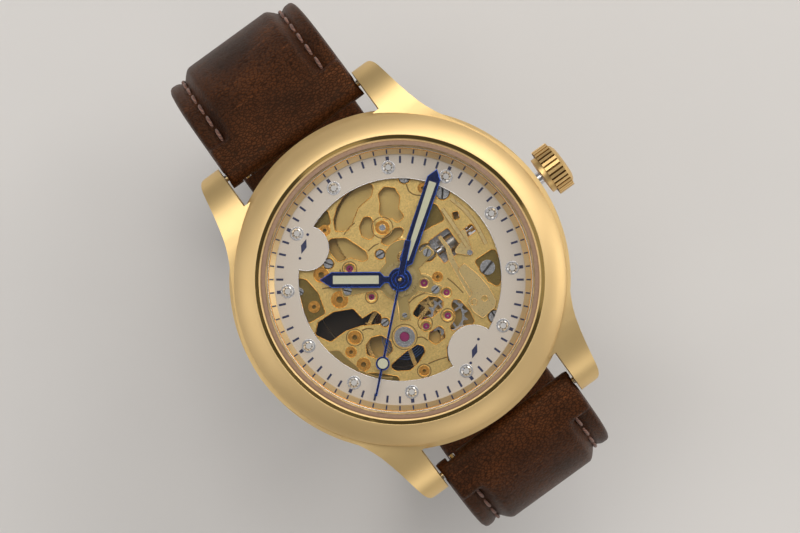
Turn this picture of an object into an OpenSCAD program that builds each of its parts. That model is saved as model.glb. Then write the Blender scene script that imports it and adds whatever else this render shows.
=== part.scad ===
// Skeleton wristwatch, in millimetres.
// The origin is the centre of the case back's outer face.
// +Z points out through the dial, +Y to 12 o'clock and +X to the crown.

/* [Case] */
// Outer radius of the middle case
case_r = 20.5; // [20.4:0.05:20.6]
// Radius of the bore that holds the movement and the dial
case_bore_r = 16.2; // [16.15:0.01:16.25]
// Outer radius of the bezel
bezel_r = 19.9; // [19.6:0.1:20.2]
// Height of the middle case's top face
case_top = 8; // [7.9:0.05:8.1]
// Radius of the crystal
crystal_r = 16.1; // [16:0.02:16.15]
// Height of the crystal's dome
crystal_top = 10.6; // [10.55:0.05:10.9]
// Gap between the lugs, which is the strap's nominal width
lug_gap = 20; // [19.8:0.1:20.2]
// Distance from the centre to a lug's tip
lug_tip = 23.8; // [23.6:0.1:24.2]

/* [Dial and hands] */
// Radius of the opening in the dial
opening_r = 12.2; // [11.9:0.1:12.4]
// Length of the hour hand
hour_len = 9.6; // [9:0.1:10.5]
// Length of the minute hand
minute_len = 13.94; // [13:0.1:14.2]
// Length of the seconds hand
second_len = 14.2; // [13.5:0.1:14.4]

/* [Strap] */
// Width of the strap between the lugs
strap_w = 19.6; // [19.2:0.1:19.6]
// Width of the strap at its ends
strap_end_w = 18; // [17:0.5:18]
// Thickness of the padded part by the lugs
strap_thick = 4.2; // [3.6:0.1:4.4]
// Thickness of the strap at its ends
strap_thin = 2.2; // [2:0.1:2.6]

/* [Hidden] */
$fn = 96;
eps = 0.02;

// Heights, from the case back to the crystal
plate_z = 5.4;
plate_top = 6.6;
plate_r = 12.95;
bridge_z = 2.9;
bridge_top = 3.7;
cock_z = 2.5;
stem_z = 5.2;
ratchet_z = 2.45;
ratchet_t = 0.3;
dial_z = 7.1;
dial_top = 7.5;
dial_r = 15.9;

// Plan positions of the arbors
barrel_at = [1.95, 6.3];
third_at = [2.1, -2.05];
fourth_at = [3.624, -4.558];
escape_at = [2.1, -6.9];
pallet_at = [-0.75, -6.4];
balance_at = [-3.6, -5.9];
minute_at = [1.85, 1.95];
setting_at = [4.55, 0.72];
crown_wheel_at = [6.6, 0];
lever_at = [8.7, -2.3];
yoke_at = [5.9, -7.8];
click_at = [-5.1, 7.2];

// Pitch radii of the meshing pairs
barrel_r = 5.770;
centre_pinion_r = 0.824;
centre_r = 2.609;
third_pinion_r = 0.326;
third_r = 2.589;
fourth_pinion_r = 0.345;
fourth_r = 2.579;
escape_pinion_r = 0.215;
escape_r = 2.5;
stone_angle = 70;
cannon_r = 0.672;
minute_r = 2.016;
minute_pinion_r = 0.538;
hour_r = 2.150;
setting_r = 0.952;
ratchet_r = 5.073;
crown_wheel_r = 2.757;

// Arbor and bearing radii
pivot_r = 0.1;
arbor_r = 0.15;
tube_r = 0.32;
cannon_tube_r = 0.45;
hour_tube_r = 0.62;
stem_r = 0.45;
crown_tube_r = 0.8;

// Strap hinge line, and the bends of the two halves
bar_y = 22.25;
bar_z = 3.4;
bar_r = 0.75;
wrap_r = 1.55;
// each bend: [length, change of heading in degrees]
short_bends = [[3, 5], [18, 75], [31.4, 90], [18, 0]];
long_bends = [[3, 10], [11.5, 60], [14, 0], [42.4, 90], [34, 32]];
short_heading = 10;
long_heading = 20;
hole_pitch = 6.5;
hole_count = 5;

jewel_spots = [
    [third_at.x, third_at.y, 0.45], [fourth_at.x, fourth_at.y, 0.38],
    [escape_at.x, escape_at.y, 0.4], [pallet_at.x, pallet_at.y, 0.4],
    [-4.15, 4.6, 0.43], [-4.0, 0.3, 0.36]];
bush_spots = [
    [-3.85, 10.1, 0.45], [-7.35, 6.0, 0.7], [-7.3, 2.3, 0.8], [-10.3, 3.4, 0.5],
    [-8.5, -2.45, 0.6], [-9.9, -3.6, 0.45], [-9.55, -5.7, 0.6], [-4.1, -10.6, 0.4],
    [3.85, -2.4, 0.4], [8.7, 7.3, 0.4]];
screw_spots = [
    [6.6, -10.3, 0.7], [10.3, 5.5, 0.8], [-4.5, -3.1, 0.45], [-10.6, 5.9, 0.45],
    [-5.85, 6.6, 0.55], [9.4, -5, 0.9], [7.6, 9.6, 0.6], [-0.15, 3.85, 0.5]];
cover_screw_spots = [[2.75, -3.45, 0.5], [-2.05, -3.8, 0.3], [-5.9, 2.6, 0.5], [setting_at.x, setting_at.y, 0.5]];
bridge_screw_spots = [
    [-10.4, 3.6, 1], [9.9, 5.6, 1], [-6.9, 9.7, 1], [11.3, -3, 1], [7.2, -8.9, 1], [-10.9, -3.5, 1]];
pillar_spots = bridge_screw_spots;
stone_r = 13.55;

// Windows that go right through the main plate
plate_windows = [
    [[-3, 9.2], [-2.3, 10.5], [-1.05, 11.5], [0.4, 12.1], [2.2, 12.2], [3.6, 11.8], [4.1, 11], [3.1, 10.1],
        [1, 9.9], [-0.7, 8.8], [-1.6, 8.4]],
    [[-4.6, 8.7], [-3.8, 8.9], [-2.3, 7.9], [-1.3, 5.2], [-1.6, 4.1], [-2.4, 4.4], [-3.3, 5.6], [-4.8, 6],
        [-4.95, 7.4]],
    [[2.6, 7.9], [2.7, 6.9], [3.5, 6.5], [3.7, 5.6], [4.9, 5.8], [4.9, 7], [5.9, 8.1], [6, 9.3], [5, 10.2],
        [3.9, 9.9], [3.4, 8.8]],
    [[0.9, 8.7], [1.6, 8.2], [1.5, 7.6], [0.6, 6.1], [-0.1, 5.9], [-0.7, 6.8], [-0.3, 8]],
    [[0.6, 4.9], [1.2, 5.3], [3.2, 5.4], [3.9, 5], [3.8, 4.4], [3, 4.1], [1.2, 4.1]],
    [[-12.2, 0.6], [-11, 1.7], [-8.8, 1.6], [-6.6, 0.5], [-6.4, -1.1], [-4.6, -1.2], [-4.3, -2.2],
        [-5, -3], [-7, -1.8], [-8.9, -1.2], [-11.2, -1.2]],
    [[-8.6, -5], [-8, -4], [-6.9, -3.6], [-5.8, -4], [-5.2, -5.3], [-5.6, -6.4], [-7.4, -6.7]],
    [[-7.3, -7.7], [-4.5, -7.4], [-2.9, -7.5], [-2.4, -8.1], [-2.6, -8.8], [-4, -9.4], [-5.4, -9.6], [-6.8, -8.7]],
    [[-1.3, -4.2], [0.3, -3.6], [1.6, -3.6], [2.5, -4.4], [2.7, -5.2], [2.2, -5.8], [0.5, -6], [-0.9, -5.4]],
    [[3.1, -6.2], [3.8, -5.6], [4.4, -6.2], [4.6, -8], [4.3, -9.7], [3.3, -9.1], [1.3, -8.8], [1.5, -8.1],
        [2.6, -7.7], [3, -7.1]],
    [[-1.5, -7.9], [-0.9, -7.2], [0.6, -7.2], [0.8, -8], [0.3, -8.9], [-1.2, -8.9]],
    [[5.4, -1.6], [8.3, -1.6], [8.3, 1.75], [5.4, 1.75]],
    [[9.2, -0.7], [10.9, -0.7], [10.9, 0.45], [9.2, 0.45]],
    [[9.4, 1.9], [10.2, 1.7], [10.5, 2.6], [9.8, 2.9]]];
// Sunk fields in the plate's dial side
plate_recesses = [
    [[-12.3, 2.2], [-9.6, 1.9], [-8.9, 4.4], [-9.1, 6.6], [-10, 7.6]],
    [[-4.9, 10.9], [-2.8, 10.2], [-1.9, 12.3], [-4.4, 11.8]],
    [[-11.2, -5.8], [-8.9, -7.4], [-6.3, -10], [-6.1, -11], [-8.6, -9.2], [-10.4, -7.4]],
    [[4.9, 3.2], [8.6, 2.6], [8.9, 4.6], [7.9, 6.6], [6.3, 5.4]],
    [[8.5, -3.4], [11.4, -3.5], [11, -6.4], [9, -7.8], [8.4, -6.4]],
    [[-0.2, -9.8], [2.6, -9.7], [4.6, -10.7], [3.3, -12.3], [0.3, -12.4], [-1.2, -11.4]]];

// ---- helpers ----

// A cubic curve through p0 and p3, in steps pieces
function curve(p0, p1, p2, p3, steps = 8) = [for (i = [0:steps]) let (t = i / steps, u = 1 - t)
    u * u * u * p0 + 3 * u * u * t * p1 + 3 * u * t * t * p2 + t * t * t * p3];

// Outline of a toothed wheel
function gear_points(teeth, r, add = 0.35, ded = 0.9) = let (m = 2 * r / teeth)
    [for (i = [0:teeth - 1], k = [-1.5:1:1.5]) let (
        tip = abs(k) < 1,
        a = 360 / teeth * (i + k * (tip ? 0.26 : 0.2)),
        rr = tip ? r + add * m : r - ded * m) [rr * cos(a), rr * sin(a)]];

// Outline of a band of width t that winds out from r0 to r1
function spiral_points(r0, r1, turns, t, steps = 20) = let (n = round(turns * steps))
    concat(
        [for (i = [0:n]) let (r = r0 + (r1 - r0) * i / n, a = 360 * turns * i / n)
            [(r + t / 2) * cos(a), (r + t / 2) * sin(a)]],
        [for (i = [n:-1:0]) let (r = r0 + (r1 - r0) * i / n, a = 360 * turns * i / n)
            [(r - t / 2) * cos(a), (r - t / 2) * sin(a)]]);

// A polygon with its corners rounded
module soft(points, r = 0.3) {
    offset(r = r, $fn = 24) offset(delta = -r) polygon(points);
}

// A toothed wheel with spokes
module spoked(teeth, r, t, spokes, hub, rim = 0.35, spoke_w = 0.28) {
    linear_extrude(t) difference() {
        polygon(gear_points(teeth, r));
        difference() {
            circle(r - rim);
            circle(hub);
            for (i = [0:spokes - 1]) rotate(360 / spokes * i) translate([0, -spoke_w / 2]) square([r, spoke_w]);
        }
    }
}

// A pinion cut on an arbor
module pinion(teeth, r, t) {
    linear_extrude(t) polygon(gear_points(teeth, r, 0.35, 0.7));
}

// A screw head with a slot, its top at the origin
module slotted_head(r, h, angle = 30) {
    difference() {
        translate([0, 0, -h]) cylinder(r = r, h = h);
        rotate(angle) translate([-r - 1, -r * 0.15, -h * 0.45]) cube([2 * r + 2, r * 0.3, h]);
    }
}

// A tube along Z
module tube(r, bore, h) {
    difference() {
        cylinder(r = r, h = h);
        translate([0, 0, -1]) cylinder(r = bore, h = h + 2);
    }
}

// Turns a shape's Z axis on to the stem's axis
module on_stem(x) {
    translate([x, 0, stem_z]) rotate([0, 90, 0]) children();
}

// ---- case ----

// Plan of the middle case, one quarter
function case_quarter() = concat(
    [[0, 0], [case_r, 0]],
    curve([case_r, 0], [case_r, 7.2], [15.8, 11.6], [14.4, 16], 12),
    curve([14.4, 16], [13.7, 18.4], [13.5, 20], [13.2, 21.8], 4),
    curve([13.2, 21.8], [13, 23.2], [12.7, lug_tip], [12, lug_tip], 6),
    [[lug_gap / 2, lug_tip], [lug_gap / 2, 18.1], [0, 18.1]]);

// Side view of the middle case: flat over the case, curved down along the lugs
function case_side() = concat(
    [[0, 1.2], [0, case_top], [13.5, case_top]],
    curve([13.5, case_top], [18, case_top], [21.6, 7.1], [23.3, 4.4], 10),
    curve([23.3, 4.4], [24.2, 3], [23.9, 1.1], [22.4, 0.9], 6),
    curve([22.4, 0.9], [20, 0.8], [18, 1.2], [16, 1.2], 4));

module mid_case() color("#D9C08A") {
    difference() {
        union() {
            rotate_extrude() polygon([[case_bore_r, 1.2], [case_r - 1.2, 1.2], [case_r, 2.4], [case_r, 7.2],
                [case_r - 0.6, case_top], [case_bore_r, case_top]]);
            difference() {
                intersection() {
                    linear_extrude(case_top + 1) for (sx = [0, 1], sy = [0, 1])
                        mirror([sx, 0]) mirror([0, sy]) polygon(case_quarter());
                    rotate([90, 0, 90]) translate([0, 0, -case_r]) linear_extrude(2 * case_r)
                        for (s = [0, 1]) mirror([s, 0]) polygon(case_side());
                }
                cylinder(r = case_r - 1.5, h = case_top + 2);
            }
        }
        translate([0, 0, -1]) cylinder(r = case_bore_r, h = case_top + 2);
        on_stem(case_bore_r - 2) cylinder(r = crown_tube_r, h = 8);
        for (s = [-1, 1]) translate([-lug_gap / 2 - 1.4, s * bar_y, bar_z]) rotate([0, 90, 0])
            cylinder(r = 0.45, h = lug_gap + 2.8);
    }
}

module bezel() color("#E3CE98") {
    rotate_extrude() polygon(concat(
        [[15.95, case_top], [bezel_r, case_top], [bezel_r, 8.7]],
        curve([bezel_r, 8.7], [bezel_r - 0.5, 9.3], [18.5, 9.98], [17.3, 10.35], 8),
        [[16.75, 9.95], [16.65, 9.95], [16.65, 9.3], [15.95, 9.3]]));
}

module crystal() color("#DDE8F0", 0.3) {
    rotate_extrude() polygon(concat(
        [[0, 9.35], [15.6, 9.3], [crystal_r, 9.3], [crystal_r, 10.1], [15.8, 10.3]],
        curve([15.8, 10.3], [12, 10.5], [6, crystal_top], [0, crystal_top], 8)));
}

// Sealing rings round the crystal and under the case back
module gaskets() color("#6B4A2A") {
    rotate_extrude() polygon([[crystal_r, 9.3], [16.65, 9.3], [16.65, 9.9], [16.5, 10], [crystal_r, 10]]);
    translate([0, 0, 0.9]) tube(17.2, 16.6, 0.3);
}

module case_back() color("#D2B67C") {
    difference() {
        rotate_extrude() polygon([[13.6, 0], [18.4, 0], [19, 0.5], [19, 1.2], [17.2, 1.2], [17.2, 0.9],
            [16.6, 0.9], [16.6, 1.2], [case_bore_r, 1.2], [case_bore_r, 2.2], [14.9, 2.2],
            [14.9, 1.2], [14.3, 1.2], [14.3, 0.4], [13.6, 0.4]]);
        for (i = [0:5]) rotate(60 * i + 30) translate([17.4, 0, -0.5]) cylinder(r = 0.7, h = 0.9);
    }
}

module back_crystal() color("#DDE8F0", 0.3) {
    translate([0, 0, 0.4]) cylinder(r = 14.3, h = 0.8);
}

module crown_tube() color("#B9BCC0") {
    on_stem(16.5) tube(crown_tube_r, 0.55, 4.6);
}

// Steel bars between the lugs, each with a small release knob
module spring_bars() color("#B9BCC0") {
    for (s = [0, 1]) mirror([0, s, 0]) translate([0, bar_y, bar_z]) {
        rotate([0, 90, 0]) translate([0, 0, -9.4]) cylinder(r = bar_r, h = 18.8);
        rotate([0, 90, 0]) translate([0, 0, -10.8]) cylinder(r = 0.4, h = 21.6);
        translate([-7.5, 0, 0]) rotate([110, 0, 0]) cylinder(r = 0.35, h = 1.45);
    }
}

// ---- crown and winding ----

module crown() color("#E0C98F") {
    flutes = 32;
    difference() {
        union() {
            on_stem(21.2) cylinder(r = 2.35, h = 0.65);
            on_stem(21.8) linear_extrude(2) polygon([for (i = [0:flutes - 1], k = [0:3])
                let (a = 360 / flutes * (i + [0.02, 0.62, 0.72, 0.92][k]), r = k < 2 ? 3.05 : 2.78)
                [r * cos(a), r * sin(a)]]);
            on_stem(23.75) rotate_extrude() polygon([[0, 0], [2.75, 0], [2.4, 0.35], [1.9, 0.55], [0, 0.65]]);
        }
        on_stem(20.5) cylinder(r = stem_r, h = 2.1);
    }
}

module winding_stem() color("#B9BCC0") {
    on_stem(5.6) difference() {
        cylinder(r = stem_r, h = 17);
        translate([0, 0, 4.2]) tube(1, 0.3, 0.5);
    }
}

module sliding_clutch() color("#B9BCC0") {
    on_stem(6.25) difference() {
        union() {
            linear_extrude(0.4) polygon(gear_points(13, 0.95, 0.3));
            translate([0, 0, 0.35]) cylinder(r = 0.62, h = 0.5);
            translate([0, 0, 0.8]) cylinder(r = 1.05, h = 1.0);
            translate([0, 0, 1.75]) linear_extrude(0.4) polygon(gear_points(13, 0.95, 0.3));
        }
        translate([0, 0, -1]) cylinder(r = 0.5, h = 4);
    }
}

module winding_pinion() color("#B9BCC0") {
    on_stem(8.45) difference() {
        union() {
            cylinder(r = 0.9, h = 0.25);
            translate([0, 0, 0.2]) linear_extrude(0.6) polygon(gear_points(13, 1.12, 0.3));
        }
        translate([0, 0, -1]) cylinder(r = 0.5, h = 3);
    }
}

module crown_wheel() color("#C9CBCD") {
    translate([crown_wheel_at.x, crown_wheel_at.y, 0]) {
        translate([0, 0, ratchet_z]) linear_extrude(ratchet_t) polygon(gear_points(25, crown_wheel_r, 0.2));
        translate([0, 0, ratchet_z + ratchet_t - eps]) cylinder(r = 1.2, h = 1.1);
        translate([0, 0, 3.74]) linear_extrude(0.18) polygon(gear_points(25, 2.3, 0.4));
    }
}

module ratchet_wheel() color("#C9CBCD") {
    translate([barrel_at.x, barrel_at.y, ratchet_z]) difference() {
        linear_extrude(ratchet_t) polygon(gear_points(46, ratchet_r, 0.2));
        translate([0, 0, -1]) cylinder(r = 0.55, h = 3);
    }
}

module click() color("#B9BCC0") {
    translate([click_at.x, click_at.y, ratchet_z]) difference() {
        linear_extrude(ratchet_t) union() {
            circle(0.7);
            soft([[-0.5, 0.1], [0.4, 0.5], [1.95, -1.75], [1.75, -2]], 0.05);
        }
        translate([0, 0, -1]) cylinder(r = 0.3, h = 3);
    }
}

module barrel_arbor() color("#B9BCC0") {
    translate([barrel_at.x, barrel_at.y, 0]) {
        translate([0, 0, ratchet_z]) cylinder(r = 0.55, h = 1.4);
        translate([0, 0, 3.84]) cylinder(r = 1.1, h = 0.6);
        translate([0, 0, 4.4]) cylinder(r = 0.4, h = 2.15);
    }
}

module barrel_drum() color("#C8B27A") {
    translate([barrel_at.x, barrel_at.y, 0]) difference() {
        union() {
            translate([0, 0, 3.76]) cylinder(r = 5.3, h = 0.9);
            translate([0, 0, 4.6]) linear_extrude(0.2) polygon(gear_points(84, barrel_r));
        }
        translate([0, 0, 3.82]) cylinder(r = 5.05, h = 0.7);
        translate([0, 0, 3]) cylinder(r = 0.6, h = 1);
        translate([0, 0, 4]) cylinder(r = 0.45, h = 1);
    }
}

module mainspring() color("#8FA0B4") {
    translate([barrel_at.x, barrel_at.y, 3.86]) linear_extrude(0.6)
        polygon(spiral_points(1.35, 4.9, 7, 0.12, 18));
}

// ---- going train ----

module centre_wheel() color("#D8B765") {
    difference() {
        union() {
            translate([0, 0, 4.45]) cylinder(r = tube_r, h = 3.4);
            translate([0, 0, 4.5]) pinion(12, centre_pinion_r, 0.35);
            translate([0, 0, 4.95]) spoked(64, centre_r, 0.13, 5, 0.6);
        }
        translate([0, 0, 3]) cylinder(r = 0.18, h = 7);
    }
}

module third_wheel() color("#D8B765") {
    translate([third_at.x, third_at.y, 0]) {
        translate([0, 0, 3.3]) cylinder(r = pivot_r, h = 3);
        translate([0, 0, 3.8]) cylinder(r = arbor_r, h = 1.5);
        translate([0, 0, 4.25]) spoked(60, third_r, 0.12, 5, 0.5);
        translate([0, 0, 4.9]) pinion(8, third_pinion_r, 0.25);
    }
}

module fourth_wheel() color("#D8B765") {
    translate([fourth_at.x, fourth_at.y, 0]) {
        translate([0, 0, 3.3]) cylinder(r = pivot_r, h = 3);
        translate([0, 0, 3.8]) cylinder(r = arbor_r, h = 1.5);
        translate([0, 0, 4.2]) pinion(8, fourth_pinion_r, 0.22);
        translate([0, 0, 4.6]) spoked(84, fourth_r, 0.12, 5, 0.5);
    }
}

module seconds_pinion() color("#B9BCC0") {
    translate([0, 0, 3.3]) cylinder(r = 0.12, h = 5.2);
    translate([0, 0, 4.18]) pinion(8, fourth_pinion_r, 0.24);
}

module escape_wheel() color("#C9CBCD") {
    teeth = 15;
    translate([escape_at.x, escape_at.y, 0]) {
        translate([0, 0, 3.3]) cylinder(r = pivot_r, h = 3);
        translate([0, 0, 3.8]) cylinder(r = 0.12, h = 1.5);
        translate([0, 0, 4.55]) pinion(7, escape_pinion_r, 0.28);
        translate([0, 0, 4.95]) linear_extrude(0.12) difference() {
            polygon([for (i = [0:teeth - 1], k = [0:3]) let (a = 360 / teeth * (i + [0, 0.1, 0.35, 0.8][k]),
                r = [escape_r, escape_r - 0.03, 2.05, 2][k]) [r * cos(a), r * sin(a)]]);
            difference() {
                circle(1.75);
                circle(0.45);
                for (i = [0:3]) rotate(90 * i) translate([0, -0.12]) square([2, 0.24]);
            }
        }
    }
}

// The lever turns between two stones that lie just clear of the escape wheel
module pallet_fork() color("#C9CBCD") {
    to_wheel = atan2(escape_at.y - pallet_at.y, escape_at.x - pallet_at.x);
    to_balance = atan2(balance_at.y - pallet_at.y, balance_at.x - pallet_at.x);
    translate([pallet_at.x, pallet_at.y, 0]) {
        translate([0, 0, 4.4]) cylinder(r = pivot_r, h = 1.7);
        translate([0, 0, 4.93]) linear_extrude(0.17) {
            circle(0.35);
            rotate(to_balance) translate([0, -0.14]) square([1.3, 0.28]);
            rotate(to_balance) for (s = [-1, 1]) translate([1.2, s * 0.22 - 0.1]) square([0.55, 0.2]);
            rotate(to_balance) translate([1.1, -0.32]) square([0.2, 0.64]);
            for (s = [-1, 1]) rotate(to_wheel + s * stone_angle) translate([0, -0.2]) square([0.75, 0.4]);
        }
    }
}

module pallet_stones() color("#C22A5A") {
    to_wheel = atan2(escape_at.y - pallet_at.y, escape_at.x - pallet_at.x);
    translate([pallet_at.x, pallet_at.y, 4.93]) linear_extrude(0.2)
        for (s = [-1, 1]) rotate(to_wheel + s * stone_angle) translate([0.75, -0.15]) square([0.3, 0.3]);
}

module balance_wheel() color("#D8B765") {
    translate([balance_at.x, balance_at.y, 0]) {
        translate([0, 0, 3.1]) cylinder(r = pivot_r, h = 3.1);
        translate([0, 0, 3.45]) cylinder(r = 0.28, h = 1.4);
        translate([0, 0, 3.76]) tube(4.75, 4.3, 0.34);
        translate([0, 0, 3.86]) linear_extrude(0.14) for (i = [0:2]) rotate(120 * i + 15)
            translate([0, -0.25]) square([4.4, 0.5]);
        for (i = [0:11]) rotate(30 * i + 5) translate([4.7, 0, 3.93]) rotate([0, 90, 0])
            cylinder(r = 0.14, h = 0.3);
        translate([0, 0, 4.62]) cylinder(r = 1.05, h = 0.14);
        translate([0.85, 0, 4.7]) cylinder(r = 0.1, h = 0.45);
    }
}

module hairspring() color("#3A5C93") {
    translate([balance_at.x, balance_at.y, 3.5]) linear_extrude(0.14)
        polygon(spiral_points(0.42, 2.9, 9, 0.07, 18));
}

// ---- motion work and setting ----

module cannon_pinion() color("#B9BCC0") {
    difference() {
        union() {
            translate([0, 0, 6.62]) cylinder(r = cannon_tube_r, h = 1.62);
            translate([0, 0, 6.36]) pinion(12, cannon_r, 0.28);
        }
        translate([0, 0, 6]) cylinder(r = tube_r, h = 1.86);
        translate([0, 0, 6]) cylinder(r = 0.18, h = 3);
    }
}

module minute_wheel() color("#D8B765") {
    translate([minute_at.x, minute_at.y, 0]) {
        translate([0, 0, 6]) cylinder(r = 0.2, h = 1.1);
        translate([0, 0, 6.4]) spoked(36, minute_r, 0.12, 4, 0.5);
        translate([0, 0, 6.5]) pinion(10, minute_pinion_r, 0.5);
    }
}

module hour_wheel() color("#D8B765") {
    difference() {
        union() {
            translate([0, 0, 6.86]) linear_extrude(0.12) polygon(gear_points(40, hour_r));
            translate([0, 0, 6.86]) cylinder(r = hour_tube_r, h = 1.04);
        }
        translate([0, 0, 6]) cylinder(r = 0.48, h = 3);
    }
}

module setting_wheel() color("#B9BCC0") {
    translate([setting_at.x, setting_at.y, 5.98]) difference() {
        linear_extrude(0.54) polygon(gear_points(17, setting_r));
        translate([0, 0, -1]) cylinder(r = 0.33, h = 3);
    }
}

module setting_lever() color("#B9BCC0") {
    translate([0, 0, 6.82]) linear_extrude(0.16) difference() {
        offset(r = 0.36) polygon([lever_at, [9.45, 0.1], [9, -0.9], [7.7, -1.3]]);
        translate(lever_at) circle(0.35);
    }
    translate([9.45, 0.1, 5.72]) cylinder(r = 0.18, h = 1.12);
}

module yoke() color("#C4C6C8") {
    translate([0, 0, 6.62]) linear_extrude(0.16) difference() {
        offset(r = 0.12) offset(delta = -0.12) union() {
            translate(yoke_at) circle(0.6);
            polygon([[5.5, -7.6], [5.75, -4.2], [6.1, -1.6], [6.65, -0.2], [6.7, 1.4], [7.05, 1.4], [7.1, -0.4],
                [6.75, -1.9], [6.4, -4.4], [6.4, -7.6]]);
        }
        translate(yoke_at) circle(0.3);
    }
    translate([6.73, -0.15, 5.9]) cube([0.24, 0.3, 0.75]);
}

// Three-armed plate that keeps the motion work down
module motion_cover() color("#8C8468") {
    translate([0, 0, plate_top]) linear_extrude(0.16) difference() {
        offset(r = 0.3, $fn = 24) offset(delta = -0.6) offset(r = 0.3, $fn = 24) {
            circle(2.6, $fn = 60);
            translate(minute_at) circle(2.1, $fn = 60);
            translate(third_at) circle(1.1, $fn = 40);
            for (arm = cover_screw_spots)
                rotate(atan2(arm.y, arm.x)) translate([0, -0.65]) square([norm([arm.x, arm.y]) + 0.65, 1.3]);
        }
        circle(0.85);
        translate(minute_at) circle(0.68);
        for (s = cover_screw_spots) translate([s.x, s.y]) circle(s[2] * 0.6);
        translate(third_at) circle(0.6);
        translate([-1.5, 1.2]) circle(0.35);
        translate([3.2, 1.9]) circle(0.3);
    }
}

module setting_cover() color("#B8AD8A") {
    translate([0, 0, 6.84]) linear_extrude(0.14) difference() {
        soft([[6.3, -3.1], [7.4, -2.9], [7.9, -4.9], [8.1, -7], [7.9, -8.8], [7.3, -9.4], [5.3, -9.6],
            [4.9, -8.4], [5, -6.9], [6.1, -6.4]], 0.3);
        translate([6.9, -7.8]) circle(0.35);
        translate([5.6, -7.4]) circle(0.4);
    }
    translate([7.5, -8.5, plate_top]) cylinder(r = 0.4, h = 0.26);
    translate([7.3, -5.2, plate_top]) cylinder(r = 0.3, h = 0.26);
    translate(concat(yoke_at, plate_top)) cylinder(r = 0.26, h = 0.3);
}

// ---- movement frame ----

module main_plate() color("#CDBE93") {
    difference() {
        union() {
            translate([0, 0, plate_z]) cylinder(r = plate_r, h = plate_top - plate_z);
            translate([10.2, -1.5, 4.4]) cube([2.3, 3, 1.2]);
        }
        for (i = [0:len(plate_windows) - 1]) translate([0, 0, plate_z - 1]) linear_extrude(3)
            soft(plate_windows[i], i < 11 ? 0.42 : 0.22);
        for (w = plate_recesses) translate([0, 0, 6.15]) linear_extrude(1) soft(w, 0.45);
        translate([minute_at.x, minute_at.y, 6.34]) cylinder(r = 2.15, h = 1);
        translate([0, 0, 6.34]) cylinder(r = 1, h = 1);
        translate([setting_at.x, setting_at.y, 5.94]) cylinder(r = 1.15, h = 1);
        translate([setting_at.x, setting_at.y, 5]) cylinder(r = 0.3, h = 2);
        translate([minute_at.x, minute_at.y, 5]) cylinder(r = 0.22, h = 2);
        cylinder(r = 0.34, h = 9);
        translate([barrel_at.x, barrel_at.y, 4]) cylinder(r = 0.42, h = 4);
        translate([barrel_at.x, barrel_at.y, 6.35]) cylinder(r = 0.85, h = 1);
        for (j = jewel_spots) translate([j.x, j.y, 0]) {
            translate([0, 0, 5]) cylinder(r = 0.3, h = 2);
            translate([0, 0, 6]) cylinder(r = j[2], h = 1);
            translate([0, 0, 6.48]) cylinder(r = j[2] + 0.25, h = 1);
        }
        translate([balance_at.x, balance_at.y, 5]) cylinder(r = 1.25, h = 3);
        for (b = bush_spots) translate([b.x, b.y, 5.8]) cylinder(r = b[2] + 0.22, h = 2);
        for (s = screw_spots) translate([s.x, s.y, 6.15]) cylinder(r = s[2] + 0.16, h = 2);
        for (s = cover_screw_spots) translate([s.x, s.y, 6.3]) cylinder(r = s[2] * 0.6, h = 2);
        on_stem(4.9) cylinder(r = 0.5, h = 9);
        translate([8.2, -1.3, 5]) cube([1.3, 2.6, 1.5]);
        translate([lever_at.x, lever_at.y, 6]) cylinder(r = 0.33, h = 1);
    }
}

// A bridge: a part of the back plane with its edges rounded
module bridge_blank(points) {
    translate([0, 0, bridge_z]) linear_extrude(bridge_top - bridge_z) intersection() {
        circle(plate_r - 0.05);
        soft(points, 0.5);
    }
}

module pillars(spots) {
    for (s = spots) translate([s.x, s.y, bridge_z]) cylinder(r = s[2] - 0.1, h = plate_z - bridge_z);
}

// Holes for the bridge screws, each with a sink for its head
module screw_holes(spots, z = bridge_z) {
    for (s = spots) translate([s.x, s.y, z]) {
        translate([0, 0, -1]) cylinder(r = 0.35, h = plate_z);
        translate([0, 0, -1]) cylinder(r = 0.75, h = 1.3);
    }
}

module barrel_bridge() color("#C9BC94") {
    spots = [pillar_spots[0], pillar_spots[1], pillar_spots[2]];
    difference() {
        union() {
            bridge_blank([[-13.5, 1.6], [-3, 1.6], [-1.2, 2.2], [1.6, 2.2], [3, -1.9], [5, -3.2], [9.8, -1.9],
                [10.3, 2.2], [14, 2.6], [14, 14], [-14, 14]]);
            pillars(spots);
        }
        screw_holes(spots);
        translate([barrel_at.x, barrel_at.y, 2]) cylinder(r = 0.6, h = 3);
        translate([crown_wheel_at.x, crown_wheel_at.y, 2]) cylinder(r = 1.25, h = 3);
        translate([click_at.x, click_at.y, 2]) cylinder(r = 0.25, h = 1.5);
    }
}

module train_bridge() color("#C9BC94") {
    spots = [pillar_spots[3], pillar_spots[4]];
    difference() {
        union() {
            bridge_blank([[-1.2, 1.9], [1.4, 1.9], [2.7, -2], [4.6, -3.6], [10.2, -2.2], [14, -1.4], [14, -9],
                [8, -11], [2.8, -9.6], [0.9, -7.6], [1.2, -4.4], [-1.2, -1.2]]);
            pillars(spots);
        }
        screw_holes(spots);
        for (a = [third_at, fourth_at, escape_at, [0, 0]]) translate([a.x, a.y, 2]) cylinder(r = 0.45, h = 3);
    }
}

module balance_cock() color("#C9BC94") {
    spots = [pillar_spots[5]];
    difference() {
        union() {
            translate([0, 0, cock_z]) linear_extrude(0.85) soft([[-12.2, -2.2], [-9.6, -2], [-6.4, -3.9],
                [-2.6, -4.2], [-1.9, -5.8], [-2.8, -7.5], [-5.2, -7.5], [-8.6, -5.9], [-12, -4.6]], 0.4);
            translate([spots[0].x, spots[0].y, cock_z]) cylinder(r = 0.95, h = plate_z - cock_z);
        }
        screw_holes(spots, cock_z);
        translate([balance_at.x, balance_at.y, 2]) cylinder(r = 0.6, h = 3);
    }
}

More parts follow.
